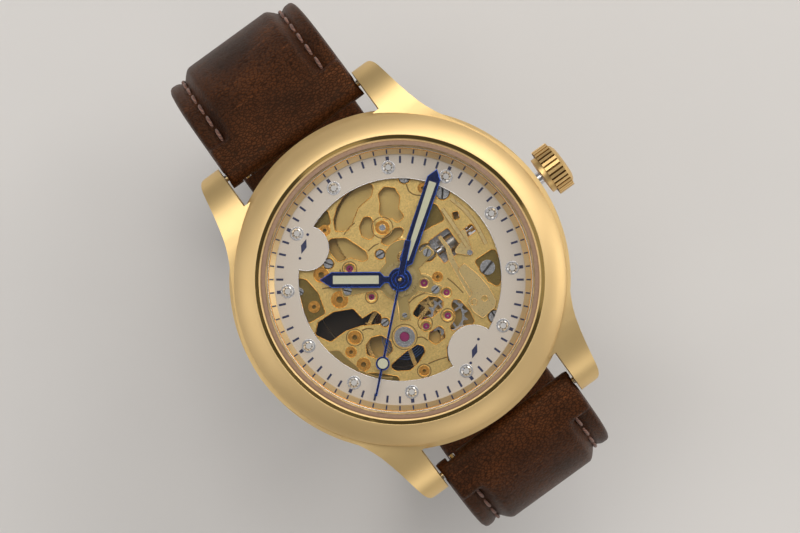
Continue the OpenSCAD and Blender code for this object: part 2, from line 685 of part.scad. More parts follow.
module pallet_bridge() color("#C9BC94") {
    difference() {
        union() {
            translate([0, 0, 4.25]) linear_extrude(0.45) soft([[-2.3, -9.4], [-1, -9.8], [0, -8.2], [0, -6],
                [-0.9, -5.7], [-1.5, -6.4]], 0.25);
            translate([-1.5, -9.1, 4.25]) cylinder(r = 0.5, h = plate_z - 4.25);
        }
        translate([pallet_at.x, pallet_at.y, 4]) cylinder(r = 0.3, h = 2);
    }
}

module movement_ring() color("#A8A8A4") {
    difference() {
        rotate_extrude() polygon([[12.7, 4.9], [13.05, 4.9], [13.05, 2.4], [16.1, 2.4], [16.1, dial_z],
            [12.98, dial_z], [12.98, plate_z], [12.7, plate_z]]);
        on_stem(12) cylinder(r = 1, h = 5);
    }
}

module jewels() color("#C22A5A") {
    for (j = jewel_spots) translate([j.x, j.y, 6]) tube(j[2], 0.12, 0.44);
    for (a = [third_at, fourth_at, escape_at, [0, 0]]) translate([a.x, a.y, 3.15]) tube(0.45, 0.13, 0.35);
    translate([pallet_at.x, pallet_at.y, 4.35]) tube(0.3, 0.12, 0.3);
    translate([balance_at.x, balance_at.y, 3]) tube(0.6, 0.12, 0.3);
    translate([balance_at.x, balance_at.y, 5.9]) tube(0.6, 0.12, 0.4);
    translate([balance_at.x, balance_at.y, 6.32]) cylinder(r = 0.5, h = 0.2);
}

module plate_bushes() color("#D79A45") {
    for (b = bush_spots) translate([b.x, b.y, 5.8]) tube(b[2] + 0.22, b[2] * 0.5, 0.72);
    translate([barrel_at.x, barrel_at.y, 6.35]) tube(0.85, 0.42, 0.2);
}

module shock_setting() color("#C8CACC") {
    translate([balance_at.x, balance_at.y, 0]) {
        translate([0, 0, 5.5]) tube(1.25, 0.6, 0.75);
        translate([0, 0, 6.25]) tube(1.25, 0.98, 0.4);
        difference() {
            translate([0, 0, 6.4]) tube(0.86, 0.66, 0.16);
            rotate(60) translate([0, -0.09, 6]) cube([2, 0.18, 1]);
        }
    }
}

module movement_screws() color("#B4B8BE") {
    for (s = screw_spots) translate([s.x, s.y, 6.55]) slotted_head(s[2], 0.4, 40 * s.x);
    for (s = cover_screw_spots) {
        translate([s.x, s.y, 6.98]) slotted_head(s[2], 0.22, 50 * s.y);
        translate([s.x, s.y, 6.3]) cylinder(r = s[2] * 0.6 - 0.02, h = 0.46);
    }
    translate([setting_at.x, setting_at.y, 5.45]) cylinder(r = 0.28, h = 0.9);
    translate([lever_at.x, lever_at.y, 6]) cylinder(r = 0.33, h = 1.1);
    translate([click_at.x, click_at.y, 2.4]) cylinder(r = 0.25, h = 1);
    for (s = bridge_screw_spots) {
        z = s.y == bridge_screw_spots[5].y ? cock_z : bridge_z;
        translate([s.x, s.y, z]) mirror([0, 0, 1]) slotted_head(0.7, 0.3, 20 * s.x);
        translate([s.x, s.y, z + 0.28]) cylinder(r = 0.34, h = 2);
    }
}

// ---- automatic winding ----

module rotor() color("#7A7468") {
    rotate(-52) difference() {
        union() {
            translate([0, 0, 1.75]) linear_extrude(0.45) difference() {
                union() {
                    intersection() {
                        circle(12.4);
                        translate([-13, -13]) square([26, 13]);
                    }
                    circle(2.6);
                }
                for (a = [-60, 0, 60]) rotate(270 + a) translate([5.6, 0]) circle(1.5);
            }
            translate([0, 0, 1.75]) difference() {
                cylinder(r = 12.75, h = 0.62);
                translate([0, 0, -1]) cylinder(r = 10.6, h = 3);
                translate([-14, 0, -1]) cube([28, 14, 3]);
            }
        }
        cylinder(r = 1.5, h = 9);
    }
}

module rotor_bearing() color("#B9BCC0") {
    translate([0, 0, 1.65]) tube(1.45, 0.6, 0.6);
    translate([0, 0, 1.7]) cylinder(r = 0.6, h = 1.2);
}

// ---- dial ----

module dial() color("#E9E1D3") {
    translate([0, 0, dial_z]) difference() {
        linear_extrude(dial_top - dial_z) difference() {
            circle(dial_r);
            offset(r = -0.35, $fn = 160) offset(delta = 0.35, $fn = 160) difference() {
                circle(opening_r, $fn = 160);
                translate([-6.9, 9.65]) circle(2.7);
                translate([2.15, -12.05]) circle(3.05);
            }
        }
        for (i = [0:11]) rotate(30 * i) translate([0, stone_r, -1]) cylinder(r = 0.8, h = 3);
    }
}

module stone_settings() color("#D9B365") {
    for (i = [0:11]) rotate(30 * i) translate([0, stone_r, 7.15]) tube(0.8, 0.62, 0.45);
}

module hour_stones() color("#DDE4EE") {
    for (i = [0:11]) rotate(30 * i) translate([0, stone_r, 7.2]) rotate_extrude()
        polygon([[0, 0], [0.62, 0.3], [0.62, 0.4], [0.36, 0.58], [0, 0.58]]);
}

module chapter_ring() color("#C9A86A") {
    rotate_extrude() polygon([[15.07, dial_top], [dial_r, dial_top], [dial_r, 8.6], [15.75, 8.6], [15.07, 7.85]]);
}

// ---- hands ----

module hour_hand() color("#1F2B55") {
    rotate(144.3) translate([0, 0, 7.74]) linear_extrude(0.16) difference() {
        union() {
            circle(1.38);
            polygon([[0, -0.35], [1.9, -0.35], [2.4, -0.9], [8.2, -0.9], [hour_len, 0], [8.2, 0.9], [2.4, 0.9],
                [1.9, 0.35], [0, 0.35]]);
        }
        circle(hour_tube_r);
    }
}

module minute_hand() color("#1F2B55") {
    rotate(35.5) translate([0, 0, 8.08]) linear_extrude(0.14) difference() {
        union() {
            circle(1);
            polygon([[0, -0.3], [1.8, -0.3], [2.3, -0.78], [12.8, -0.78], [minute_len, 0], [12.8, 0.78],
                [2.3, 0.78], [1.8, 0.3], [0, 0.3]]);
        }
        circle(cannon_tube_r);
    }
}

module seconds_hand() color("#1F2B55") {
    rotate(222.4) translate([0, 0, 8.38]) {
        linear_extrude(0.1) difference() {
            union() {
                circle(0.58);
                translate([0, -0.11]) square([second_len, 0.22]);
                translate([10.26, 0]) circle(0.8);
                translate([-4.8, -0.34]) square([4.6, 0.68]);
            }
            circle(0.12);
        }
    }
}

// ---- strap and buckle ----

// Points along a run of bends, as [y, z, heading], from a start point
function run(bends, y, z, heading, i = 0) = i == len(bends) ? [[y, z, heading]] : let (
    steps = max(1, round(bends[i][0] / 2.4)),
    part = [for (k = [0:steps - 1]) let (t = k / steps, h = heading + bends[i][1] * t,
        turn = bends[i][1] * PI / 180, radius = turn == 0 ? 0 : bends[i][0] / turn)
        turn == 0 ? [y + bends[i][0] * t * cos(heading), z - bends[i][0] * t * sin(heading), h]
            : [y + radius * (sin(h) - sin(heading)), z + radius * (cos(h) - cos(heading)), h]],
    h1 = heading + bends[i][1], turn1 = bends[i][1] * PI / 180,
    radius1 = turn1 == 0 ? 0 : bends[i][0] / turn1,
    y1 = turn1 == 0 ? y + bends[i][0] * cos(heading) : y + radius1 * (sin(h1) - sin(heading)),
    z1 = turn1 == 0 ? z - bends[i][0] * sin(heading) : z + radius1 * (cos(h1) - cos(heading)))
    concat(part, run(bends, y1, z1, h1, i + 1));

// Side outline of a strap half: thin at the bar, full behind it, thin again at the end
function strap_outline(path) = let (n = len(path) - 1, half = [for (i = [0:n]) i == 0 ? wrap_r
        : strap_thin / 2 + (strap_thick - strap_thin) / 2 * pow(1 - (i - 1) / (n - 1), 1.2)]) concat(
    [for (i = [0:n]) [path[i][0] + half[i] * sin(path[i][2]), path[i][1] + half[i] * cos(path[i][2])]],
    [for (i = [n:-1:0]) [path[i][0] - half[i] * sin(path[i][2]), path[i][1] - half[i] * cos(path[i][2])]],
    [for (a = [15:15:165]) let (turn = path[0][2] + a)
        [path[0][0] - wrap_r * sin(turn), path[0][1] - wrap_r * cos(turn)]]);

// Width of a strap half against height, as a side wedge
module strap_taper(far_z) {
    rotate([90, 0, 0]) translate([0, 0, -70]) linear_extrude(140) polygon([
        [-strap_w / 2, 8], [-strap_w / 2, 0], [-strap_end_w / 2, far_z], [-strap_end_w / 2, -60],
        [strap_end_w / 2, -60], [strap_end_w / 2, far_z], [strap_w / 2, 0], [strap_w / 2, 8]]);
}

module strap_blank(path, far_z) {
    intersection() {
        rotate([90, 0, 90]) translate([0, 0, -strap_w / 2]) linear_extrude(strap_w)
            polygon(strap_outline(path));
        strap_taper(far_z);
    }
}

// Room round the bar and its release knob
module bar_room() {
    translate([-15, bar_y, bar_z]) rotate([0, 90, 0]) cylinder(r = bar_r + 0.1, h = 30);
    translate([-8.3, bar_y - 3, bar_z - 3]) cube([1.6, 3, 6]);
}

short_path = run(short_bends, bar_y, bar_z, short_heading);
long_path = run(long_bends, bar_y, bar_z, long_heading);
short_end = short_path[len(short_path) - 1];
pin_y = short_end[0];
pin_z = short_end[1];
buckle_bar_r = 0.8;

// A leather loop round the short half, with room for the other half's end
module keeper(y) {
    inner_w = strap_end_w + 0.5;
    translate([0, y, pin_z]) rotate([90, 0, 0]) translate([0, 0, -1.5]) linear_extrude(3) difference() {
        translate([0, -1.1]) offset(r = 0.8, $fn = 24) square([inner_w, 5.2], center = true);
        translate([0, -1.1]) square([inner_w, 5.2], center = true);
    }
}

module strap_short() color("#5A2F1A") {
    keeper(pin_y + 5);
    difference() {
        union() {
            strap_blank(short_path, -30);
            translate([-strap_end_w / 2, pin_y, pin_z]) rotate([0, 90, 0]) cylinder(r = 1.7, h = strap_end_w);
        }
        bar_room();
        translate([-15, pin_y, pin_z]) rotate([0, 90, 0]) cylinder(r = buckle_bar_r + 0.1, h = 30);
        translate([-1.6, pin_y - 4, pin_z - 4]) cube([3.2, 8.5, 8]);
    }
}

module strap_long() color("#5A2F1A") mirror([0, 1, 0]) {
    last = len(long_path) - 1;
    difference() {
        strap_blank(long_path, -30);
        bar_room();
        for (i = [0:hole_count - 1]) let (p = long_path[last - 3 - round(i * hole_pitch / 2.43)])
            translate([0, p[0], p[1]]) rotate([-p[2], 0, 0]) translate([0, 0, -4]) cylinder(r = 0.9, h = 8);
    }
}

module buckle_bar() color("#D9C08A") {
    translate([-10.9, pin_y, pin_z]) rotate([0, 90, 0]) cylinder(r = buckle_bar_r, h = 21.8);
}

module buckle_frame() color("#D9C08A") {
    translate([0, pin_y, pin_z]) difference() {
        union() {
            translate([0, 0, -1]) linear_extrude(2) difference() {
                offset(r = 1.5) translate([-9.5, -9.5]) square([19, 9]);
                translate([-9.2, -8.6]) square([18.4, 20]);
            }
            for (s = [-1, 1]) translate([s * 10.1 - 0.9, 0, 0]) rotate([0, 90, 0]) cylinder(r = 1.5, h = 1.8);
        }
        translate([-15, 0, 0]) rotate([0, 90, 0]) cylinder(r = buckle_bar_r + 0.02, h = 30);
    }
}

module buckle_tang() color("#D9C08A") {
    translate([0, pin_y, pin_z]) difference() {
        union() {
            translate([-1.1, 0, 0]) rotate([0, 90, 0]) cylinder(r = 1.6, h = 2.2);
            translate([-0.9, -10.6, -1.55]) cube([1.8, 10.4, 0.5]);
        }
        translate([-15, 0, 0]) rotate([0, 90, 0]) cylinder(r = buckle_bar_r + 0.05, h = 30);
    }
}

module free_keeper() color("#4E2815") {
    keeper(pin_y + 10);
}

mid_case();
bezel();
crystal();
gaskets();
chapter_ring();
dial();
stone_settings();
hour_stones();
movement_ring();
case_back();
back_crystal();
crown_tube();
spring_bars();
crown();
winding_stem();
sliding_clutch();
winding_pinion();
hour_hand();
minute_hand();
seconds_hand();
seconds_pinion();
main_plate();
barrel_bridge();
train_bridge();
balance_cock();
pallet_bridge();
motion_cover();
setting_cover();
barrel_drum();
mainspring();
barrel_arbor();
ratchet_wheel();
crown_wheel();
click();
setting_lever();
yoke();
setting_wheel();
minute_wheel();
cannon_pinion();
hour_wheel();
centre_wheel();
third_wheel();
fourth_wheel();
escape_wheel();
pallet_fork();
pallet_stones();
balance_wheel();
hairspring();
jewels();
plate_bushes();
shock_setting();
movement_screws();
rotor();
rotor_bearing();
strap_short();
strap_long();
buckle_frame();
buckle_tang();
buckle_bar();
free_keeper();
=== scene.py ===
"""Looks of a skeleton wristwatch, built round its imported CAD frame. Blender's lengths are metres."""
import random
from math import copysign, cos, degrees, exp, pi, radians, sin, sqrt

import bmesh
import bpy
from mathutils import Matrix, Vector
from mathutils.geometry import convex_hull_2d


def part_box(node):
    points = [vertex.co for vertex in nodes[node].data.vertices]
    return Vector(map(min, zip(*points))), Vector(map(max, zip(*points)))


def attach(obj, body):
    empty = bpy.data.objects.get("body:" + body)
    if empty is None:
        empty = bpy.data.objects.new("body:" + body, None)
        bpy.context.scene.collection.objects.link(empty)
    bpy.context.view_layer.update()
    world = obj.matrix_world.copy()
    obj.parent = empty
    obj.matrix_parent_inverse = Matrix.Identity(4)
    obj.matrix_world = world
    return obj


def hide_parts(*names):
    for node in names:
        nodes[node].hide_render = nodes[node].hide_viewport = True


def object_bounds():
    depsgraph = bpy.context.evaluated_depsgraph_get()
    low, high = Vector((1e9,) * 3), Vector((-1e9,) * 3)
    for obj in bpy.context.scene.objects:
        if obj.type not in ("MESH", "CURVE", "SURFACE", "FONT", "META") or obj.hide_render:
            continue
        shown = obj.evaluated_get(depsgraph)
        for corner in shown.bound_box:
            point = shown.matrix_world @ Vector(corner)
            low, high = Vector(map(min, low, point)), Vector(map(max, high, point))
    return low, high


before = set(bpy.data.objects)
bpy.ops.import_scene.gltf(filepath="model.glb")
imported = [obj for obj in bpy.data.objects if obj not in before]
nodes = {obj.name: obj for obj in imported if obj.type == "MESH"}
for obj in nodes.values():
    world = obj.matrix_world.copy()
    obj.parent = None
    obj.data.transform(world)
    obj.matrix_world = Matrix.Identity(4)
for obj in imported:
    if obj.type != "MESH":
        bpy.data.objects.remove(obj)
cad_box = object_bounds()
MM = 0.001
random.seed(7)


def add_object(name, data):
    obj = bpy.data.objects.new(name, data)
    bpy.context.scene.collection.objects.link(obj)
    return obj


def put(thing, **settings):
    for key, value in settings.items():
        setattr(thing, key, value)


# ---- camera, floor and light

DIAL_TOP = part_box("dial")[1].z
FLOOR_Z = cad_box[0][2] - 0.2 * MM
FLOOR_HALF = 2.0
VIEW_TURN = radians(-36)  # the watch lies turned, with 12 o'clock to the upper left
FRAME_W = 0.096  # width the camera sees at the dial
LENS, SENSOR = 150, 36
AIM_UP = 1.57 * MM  # the dial sits a little below the picture's middle


def add_camera():
    data = bpy.data.cameras.new("camera")
    put(data, lens=LENS, sensor_width=SENSOR, clip_start=0.01, clip_end=20)
    cam = add_object("camera", data)
    turn = Matrix.Rotation(VIEW_TURN, 4, "Z")
    up = turn @ Vector((0, 1, 0))
    height = FRAME_W * LENS / SENSOR
    cam.matrix_world = Matrix.Translation(up * AIM_UP + Vector((0, 0, DIAL_TOP + height))) @ turn
    bpy.context.scene.camera = cam


def add_area(name, place, size, power, colour, size_y=None):
    """An area light aimed at the origin, placed along the picture's right and up directions and above it."""
    data = bpy.data.lights.new(name, "AREA")
    put(data, energy=power, color=colour, size=size)
    if size_y:
        put(data, shape="RECTANGLE", size_y=size_y)
    lamp = add_object(name, data)
    lamp.location = Matrix.Rotation(VIEW_TURN, 3, "Z") @ Vector(place)
    lamp.rotation_euler = (-lamp.location).to_track_quat("-Z", "Y").to_euler()


def add_lights():
    add_area("key", (0.3, 0.42, 0.5), 0.5, 2.2, (1, 0.96, 0.91))
    add_area("top", (-0.12, 0.3, 0.75), 0.4, 1.5, (1, 0.97, 0.93))
    add_area("fill", (-0.6, -0.12, 0.42), 0.5, 0.85, (1, 0.97, 0.94))
    add_area("low", (0.3, -0.55, 0.3), 0.3, 0.4, (1, 0.96, 0.92))
    add_area("rim", (0.55, 0.05, 0.12), 0.3, 0.5, (1, 0.95, 0.88), 0.1)
    world = bpy.data.worlds.new("world")
    world.use_nodes = True
    back = world.node_tree.nodes["Background"]
    back.inputs["Color"].default_value = (0.84, 0.82, 0.8, 1)
    back.inputs["Strength"].default_value = 0.36
    bpy.context.scene.world = world
    bpy.context.scene.view_settings.view_transform = "Standard"


# ---- materials

GRAIN_DEPTH = 0.02 * MM  # height of the bumps on metal and paint


def dim(colour, part):
    return tuple(c * part for c in colour)


class Look:
    """A short way to write a node material."""

    def __init__(self, name):
        self.mat = bpy.data.materials.new(name)
        self.mat.use_nodes = True
        self.tree = self.mat.node_tree
        self.shader = self.tree.nodes["Principled BSDF"]

    def node(self, kind, *sources, **values):
        """A new node with its first inputs linked to the sources, and settings or inputs set by name."""
        made = self.tree.nodes.new("ShaderNode" + kind)
        for key, value in values.items():
            if hasattr(made, key):
                setattr(made, key, value)
            else:
                made.inputs[key.replace("_", " ")].default_value = value
        for socket, source in zip(made.inputs, sources):
            self.link(source, socket)
        return made

    def link(self, source, target):
        self.tree.links.new(source, target)

    def set(self, **values):
        for key, value in values.items():
            self.shader.inputs[key.replace("_", " ")].default_value = value
        return self

    def place(self):
        """The object's own coordinates, in metres."""
        return self.node("TexCoord").outputs["Object"]

    def axis(self, letter):
        return self.node("SeparateXYZ", self.place()).outputs[letter]

    def coords(self, scale=(1000, 1000, 1000), turn=(0, 0, 0)):
        """The object's own coordinates, in millimetres unless scaled."""
        return self.node("Mapping", self.place(), Scale=scale, Rotation=turn).outputs["Vector"]

    def noise(self, vector, scale, detail=3, rough=0.5):
        return self.node("TexNoise", vector, Scale=scale, Detail=detail, Roughness=rough).outputs["Fac"]

    def span(self, value, low, high, to_low, to_high):
        """The value moved from one range to another, and held inside it."""
        return self.node("MapRange", value, From_Min=low, From_Max=high, To_Min=to_low,
                         To_Max=to_high).outputs["Result"]

    def join(self, operation, *sources):
        return self.node("Math", *sources, operation=operation).outputs[0]

    def mix(self, factor, a, b):
        made = self.node("Mix", data_type="RGBA")
        for source, socket in ((factor, made.inputs[0]), (a, made.inputs[6]), (b, made.inputs[7])):
            if isinstance(source, tuple):
                socket.default_value = (*source, 1)
            else:
                self.link(source, socket)
        return made.outputs[2]

    def reach(self, keep, about=(0, 0, 0)):
        """Distance from a place in metres, counted only along the axes that keep marks with one."""
        offset = self.place()
        for operation, value in (("SUBTRACT", about), ("MULTIPLY", keep)):
            step = self.node("VectorMath", offset, operation=operation)
            step.inputs[1].default_value = value
            offset = step.outputs[0]
        return self.node("VectorMath", offset, operation="LENGTH").outputs["Value"]

    def edge(self):
        """One on faces that lean away from level, such as bevels and walls, and nought on level ones: the
        mask for painted highlights there.
        """
        normal = self.node("NewGeometry").outputs["True Normal"]
        up = self.join("ABSOLUTE", self.node("SeparateXYZ", normal).outputs["Z"])
        return self.span(up, 0.75, 0.97, 1, 0)

    def colour(self, source):
        self.link(source, self.shader.inputs["Base Color"])

    def rough(self, source):
        self.link(source, self.shader.inputs["Roughness"])

    def bump(self, height, strength, distance):
        """Adds bumps to those already there, and hands over the finished material."""
        made = self.node("Bump", Strength=strength, Distance=distance)
        self.link(height, made.inputs["Height"])
        for earlier in self.shader.inputs["Normal"].links:
            self.link(earlier.from_socket, made.inputs["Normal"])
        self.link(made.outputs["Normal"], self.shader.inputs["Normal"])
        return self.mat


def metal(name, colour, shade, roughness, grain=40, stretch=(1, 1, 1), bump=0.05, spread=0.08, edge=None):
    """Metal with a fine grain, a slow change of tone, uneven gloss and, where asked, a painted highlight in a
    brighter colour on bevels and walls.
    """
    look = Look(name).set(Metallic=1.0)
    fine = look.noise(look.coords(dim(stretch, 1000)), grain / 10, 4, 0.6)
    slow = look.noise(look.coords(), 0.35, 2)
    tone = look.mix(slow, shade, colour)
    face = look.mix(look.span(fine, 0.3, 0.7, 0, 0.35), tone, colour)
    # painted highlight: the edge colour goes on bevels and walls
    if edge:
        face = look.mix(look.edge(), face, edge)
    look.colour(face)
    look.rough(look.span(fine, 0.3, 0.7, roughness - spread, roughness + spread))
    return look.bump(fine, bump, GRAIN_DEPTH)


def brushed_plate(name, top, floor, edge, top_z, roughness):
    """A gilt plate: grained on top, with painted shade darkening the stippled floors of its sunk fields and a
    painted highlight on its cut edges and walls.
    """
    look = Look(name).set(Metallic=1.0)
    height = look.span(look.axis("Z"), top_z - 0.16 * MM, top_z - 0.1 * MM, 0, 1)
    grain = look.noise(look.coords((2200, 2200, 2200)), 3.2, 5, 0.65)
    slow = look.noise(look.coords(), 0.5, 3)
    lines = look.noise(look.coords((400, 5200, 1000), (0, 0, 0.5)), 1.0, 3, 0.6)
    upper = look.mix(look.span(slow, 0.35, 0.65, 0, 1), top, dim(top, 0.84))
    upper = look.mix(look.span(lines, 0.4, 0.6, 0, 0.25), upper, dim(top, 0.62))
    upper = look.mix(look.span(grain, 0.42, 0.6, 0, 0.6), upper, dim(top, 0.48))
    # painted shade darkens the sunk floors, and a painted highlight colours bevels and walls
    lower = look.mix(look.span(grain, 0.35, 0.65, 0, 1), floor, dim(floor, 0.6))
    look.colour(look.mix(look.edge(), look.mix(height, lower, upper), edge))
    look.rough(look.span(grain, 0.3, 0.7, roughness - 0.07, roughness + 0.12))
    return look.bump(grain, 0.12, GRAIN_DEPTH)


def dished(name, colour, shade, reflection_colour, reflection_r, roughness):
    """Satin metal turned about Z, with a polished band between two radii in millimetres that is painted dark
    as a painted reflection.
    """
    look = Look(name).set(Metallic=1.0)
    reach = look.reach((1, 1, 0))
    begin = look.span(reach, (reflection_r[0] - 0.02) * MM, (reflection_r[0] + 0.02) * MM, 0, 1)
    end = look.span(reach, (reflection_r[1] - 0.03) * MM, (reflection_r[1] + 0.03) * MM, 1, 0)
    reflection_band = look.join("MULTIPLY", begin, end)
    grain = look.noise(look.coords(), 9, 4, 0.6)
    slow = look.noise(look.coords(), 0.3, 2)
    # painted reflection: the inner step is coloured dark
    look.colour(look.mix(reflection_band, look.mix(slow, shade, colour), reflection_colour))
    gloss = look.span(grain, 0.3, 0.7, roughness - 0.03, roughness + 0.03)
    look.rough(look.mix(reflection_band, gloss, (0.13, 0.13, 0.13)))
    return look.bump(grain, 0.01, GRAIN_DEPTH)


def fluted(name, ridge, groove, stem, flute_r, flute_x):
    """Metal round a stem along X with painted shade darkening it between the flutes: their radii and ends in
    millimetres.
    """
    look = Look(name).set(Metallic=1.0)
    reach = look.reach((0, 1, 1), (0, 0, (stem[0].z + stem[1].z) / 2))
    top = look.span(reach, flute_r[0] * MM, flute_r[1] * MM, 0, 1)
    collar = look.span(look.axis("X"), (flute_x[0] - 0.01) * MM, flute_x[0] * MM, 1, 0)
    cap = look.span(look.axis("X"), (flute_x[1] - 0.01) * MM, flute_x[1] * MM, 0, 1)
    lit = look.join("MAXIMUM", top, look.join("MAXIMUM", collar, cap))
    grain = look.noise(look.coords(), 7, 3)
    # painted shade in the grooves between the flutes
    look.colour(look.mix(lit, groove, look.mix(grain, dim(ridge, 0.85), ridge)))
    look.rough(look.span(grain, 0.3, 0.7, 0.34, 0.44))
    return look.bump(grain, 0.02, GRAIN_DEPTH)


def glassy(name, colour, alpha):
    look = Look(name).set(IOR=1.5, Alpha=alpha)
    haze = look.noise(look.coords(), 0.8, 2)
    look.colour(look.mix(haze, colour, dim(colour, 0.97)))
    look.rough(look.span(haze, 0, 1, 0.018, 0.042))
    return look.mat


def gem(name, colour, deep, transmission, ior=1.76, roughness=0.04, metallic=0.0):
    """A clear or coloured stone with faint clouds in it."""
    look = Look(name).set(Metallic=metallic, IOR=ior, Transmission_Weight=transmission)
    cloud = look.noise(look.coords(), 1.6, 3)
    look.colour(look.mix(cloud, deep, colour))
    look.rough(look.span(cloud, 0, 1, roughness * 0.5, roughness * 1.5))
    return look.mat


def enamel(name, colour, shade, roughness, grain=3.0, bump=0.04, coat=0.0):
    """Paint, rubber or print with a fine even mottle."""
    look = Look(name).set(Coat_Weight=coat, Coat_Roughness=0.1)
    fine = look.noise(look.coords(), grain, 4)
    look.colour(look.mix(look.span(fine, 0.3, 0.7, 0, 1), shade, colour))
    look.rough(look.span(fine, 0.3, 0.7, roughness * 0.85, roughness * 1.15))
    return look.bump(fine, bump, GRAIN_DEPTH)


def leather(name, dark, light, roughness):
    """Smooth calf leather: pebbled grain in faint rows, fine creases across, paler where it is rubbed."""
    look = Look(name).set(Specular_IOR_Level=0.22, Specular_Tint=(1, 0.66, 0.42, 1))
    place = look.coords()
    cells = look.node("TexVoronoi", look.coords((800, 1500, 1500)), feature="DISTANCE_TO_EDGE", Scale=2.3,
                      Randomness=1.0)
    pebbles = look.span(cells.outputs["Distance"], 0.0, 0.22, 0, 1)
    pores = look.noise(place, 4.5, 5, 0.7)
    cloud = look.noise(place, 0.16, 3)
    creases = look.noise(look.coords((110, 900, 900)), 1.3, 4, 0.6)
    tone = look.mix(look.span(cloud, 0.3, 0.7, 0, 1), dark, light)
    rubbed = look.mix(look.span(creases, 0.62, 0.72, 0, 0.55), tone, dim(light, 2.2))
    look.colour(look.mix(look.span(pebbles, 0, 1, 0.9, 0), rubbed, dim(dark, 0.25)))
    look.rough(look.span(pores, 0.3, 0.7, roughness - 0.06, roughness + 0.12))
    look.bump(pores, 0.1, 0.05 * MM)
    look.bump(creases, 0.3, 0.15 * MM)
    return look.bump(pebbles, 0.45, 0.08 * MM)


def thread(name, colour, shade):
    """Twisted thread with a slight nap."""
    look = Look(name).set(Sheen_Weight=0.3, Roughness=0.7)
    twist = look.node("TexWave", look.coords(), Scale=1.4, Distortion=0.6, bands_direction="DIAGONAL")
    look.colour(look.mix(twist.outputs["Fac"], shade, colour))
    return look.bump(twist.outputs["Fac"], 0.5, 0.06 * MM)


GOLD, GOLD_DEEP = (0.86, 0.63, 0.3), (0.8, 0.57, 0.26)
GILT, GILT_DEEP = (0.74, 0.5, 0.19), (0.58, 0.38, 0.13)
STEEL, STEEL_DEEP = (0.55, 0.55, 0.56), (0.36, 0.36, 0.38)
# the floor colour is painted shade for the sunk fields, and the edge colour is a painted highlight
PLATE, PLATE_FLOOR_SHADE, PLATE_EDGE_HIGHLIGHT = (0.82, 0.58, 0.21), (0.24, 0.17, 0.05), (0.85, 0.5, 0.13)
PLATE_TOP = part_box("main_plate")[1].z
BEZEL_REFLECTION_R = (16.85, 17.28)  # the bezel's inner step, painted dark as a painted reflection
FLUTE_R, FLUTE_X = (2.8, 3.0), (21.8, 23.8)
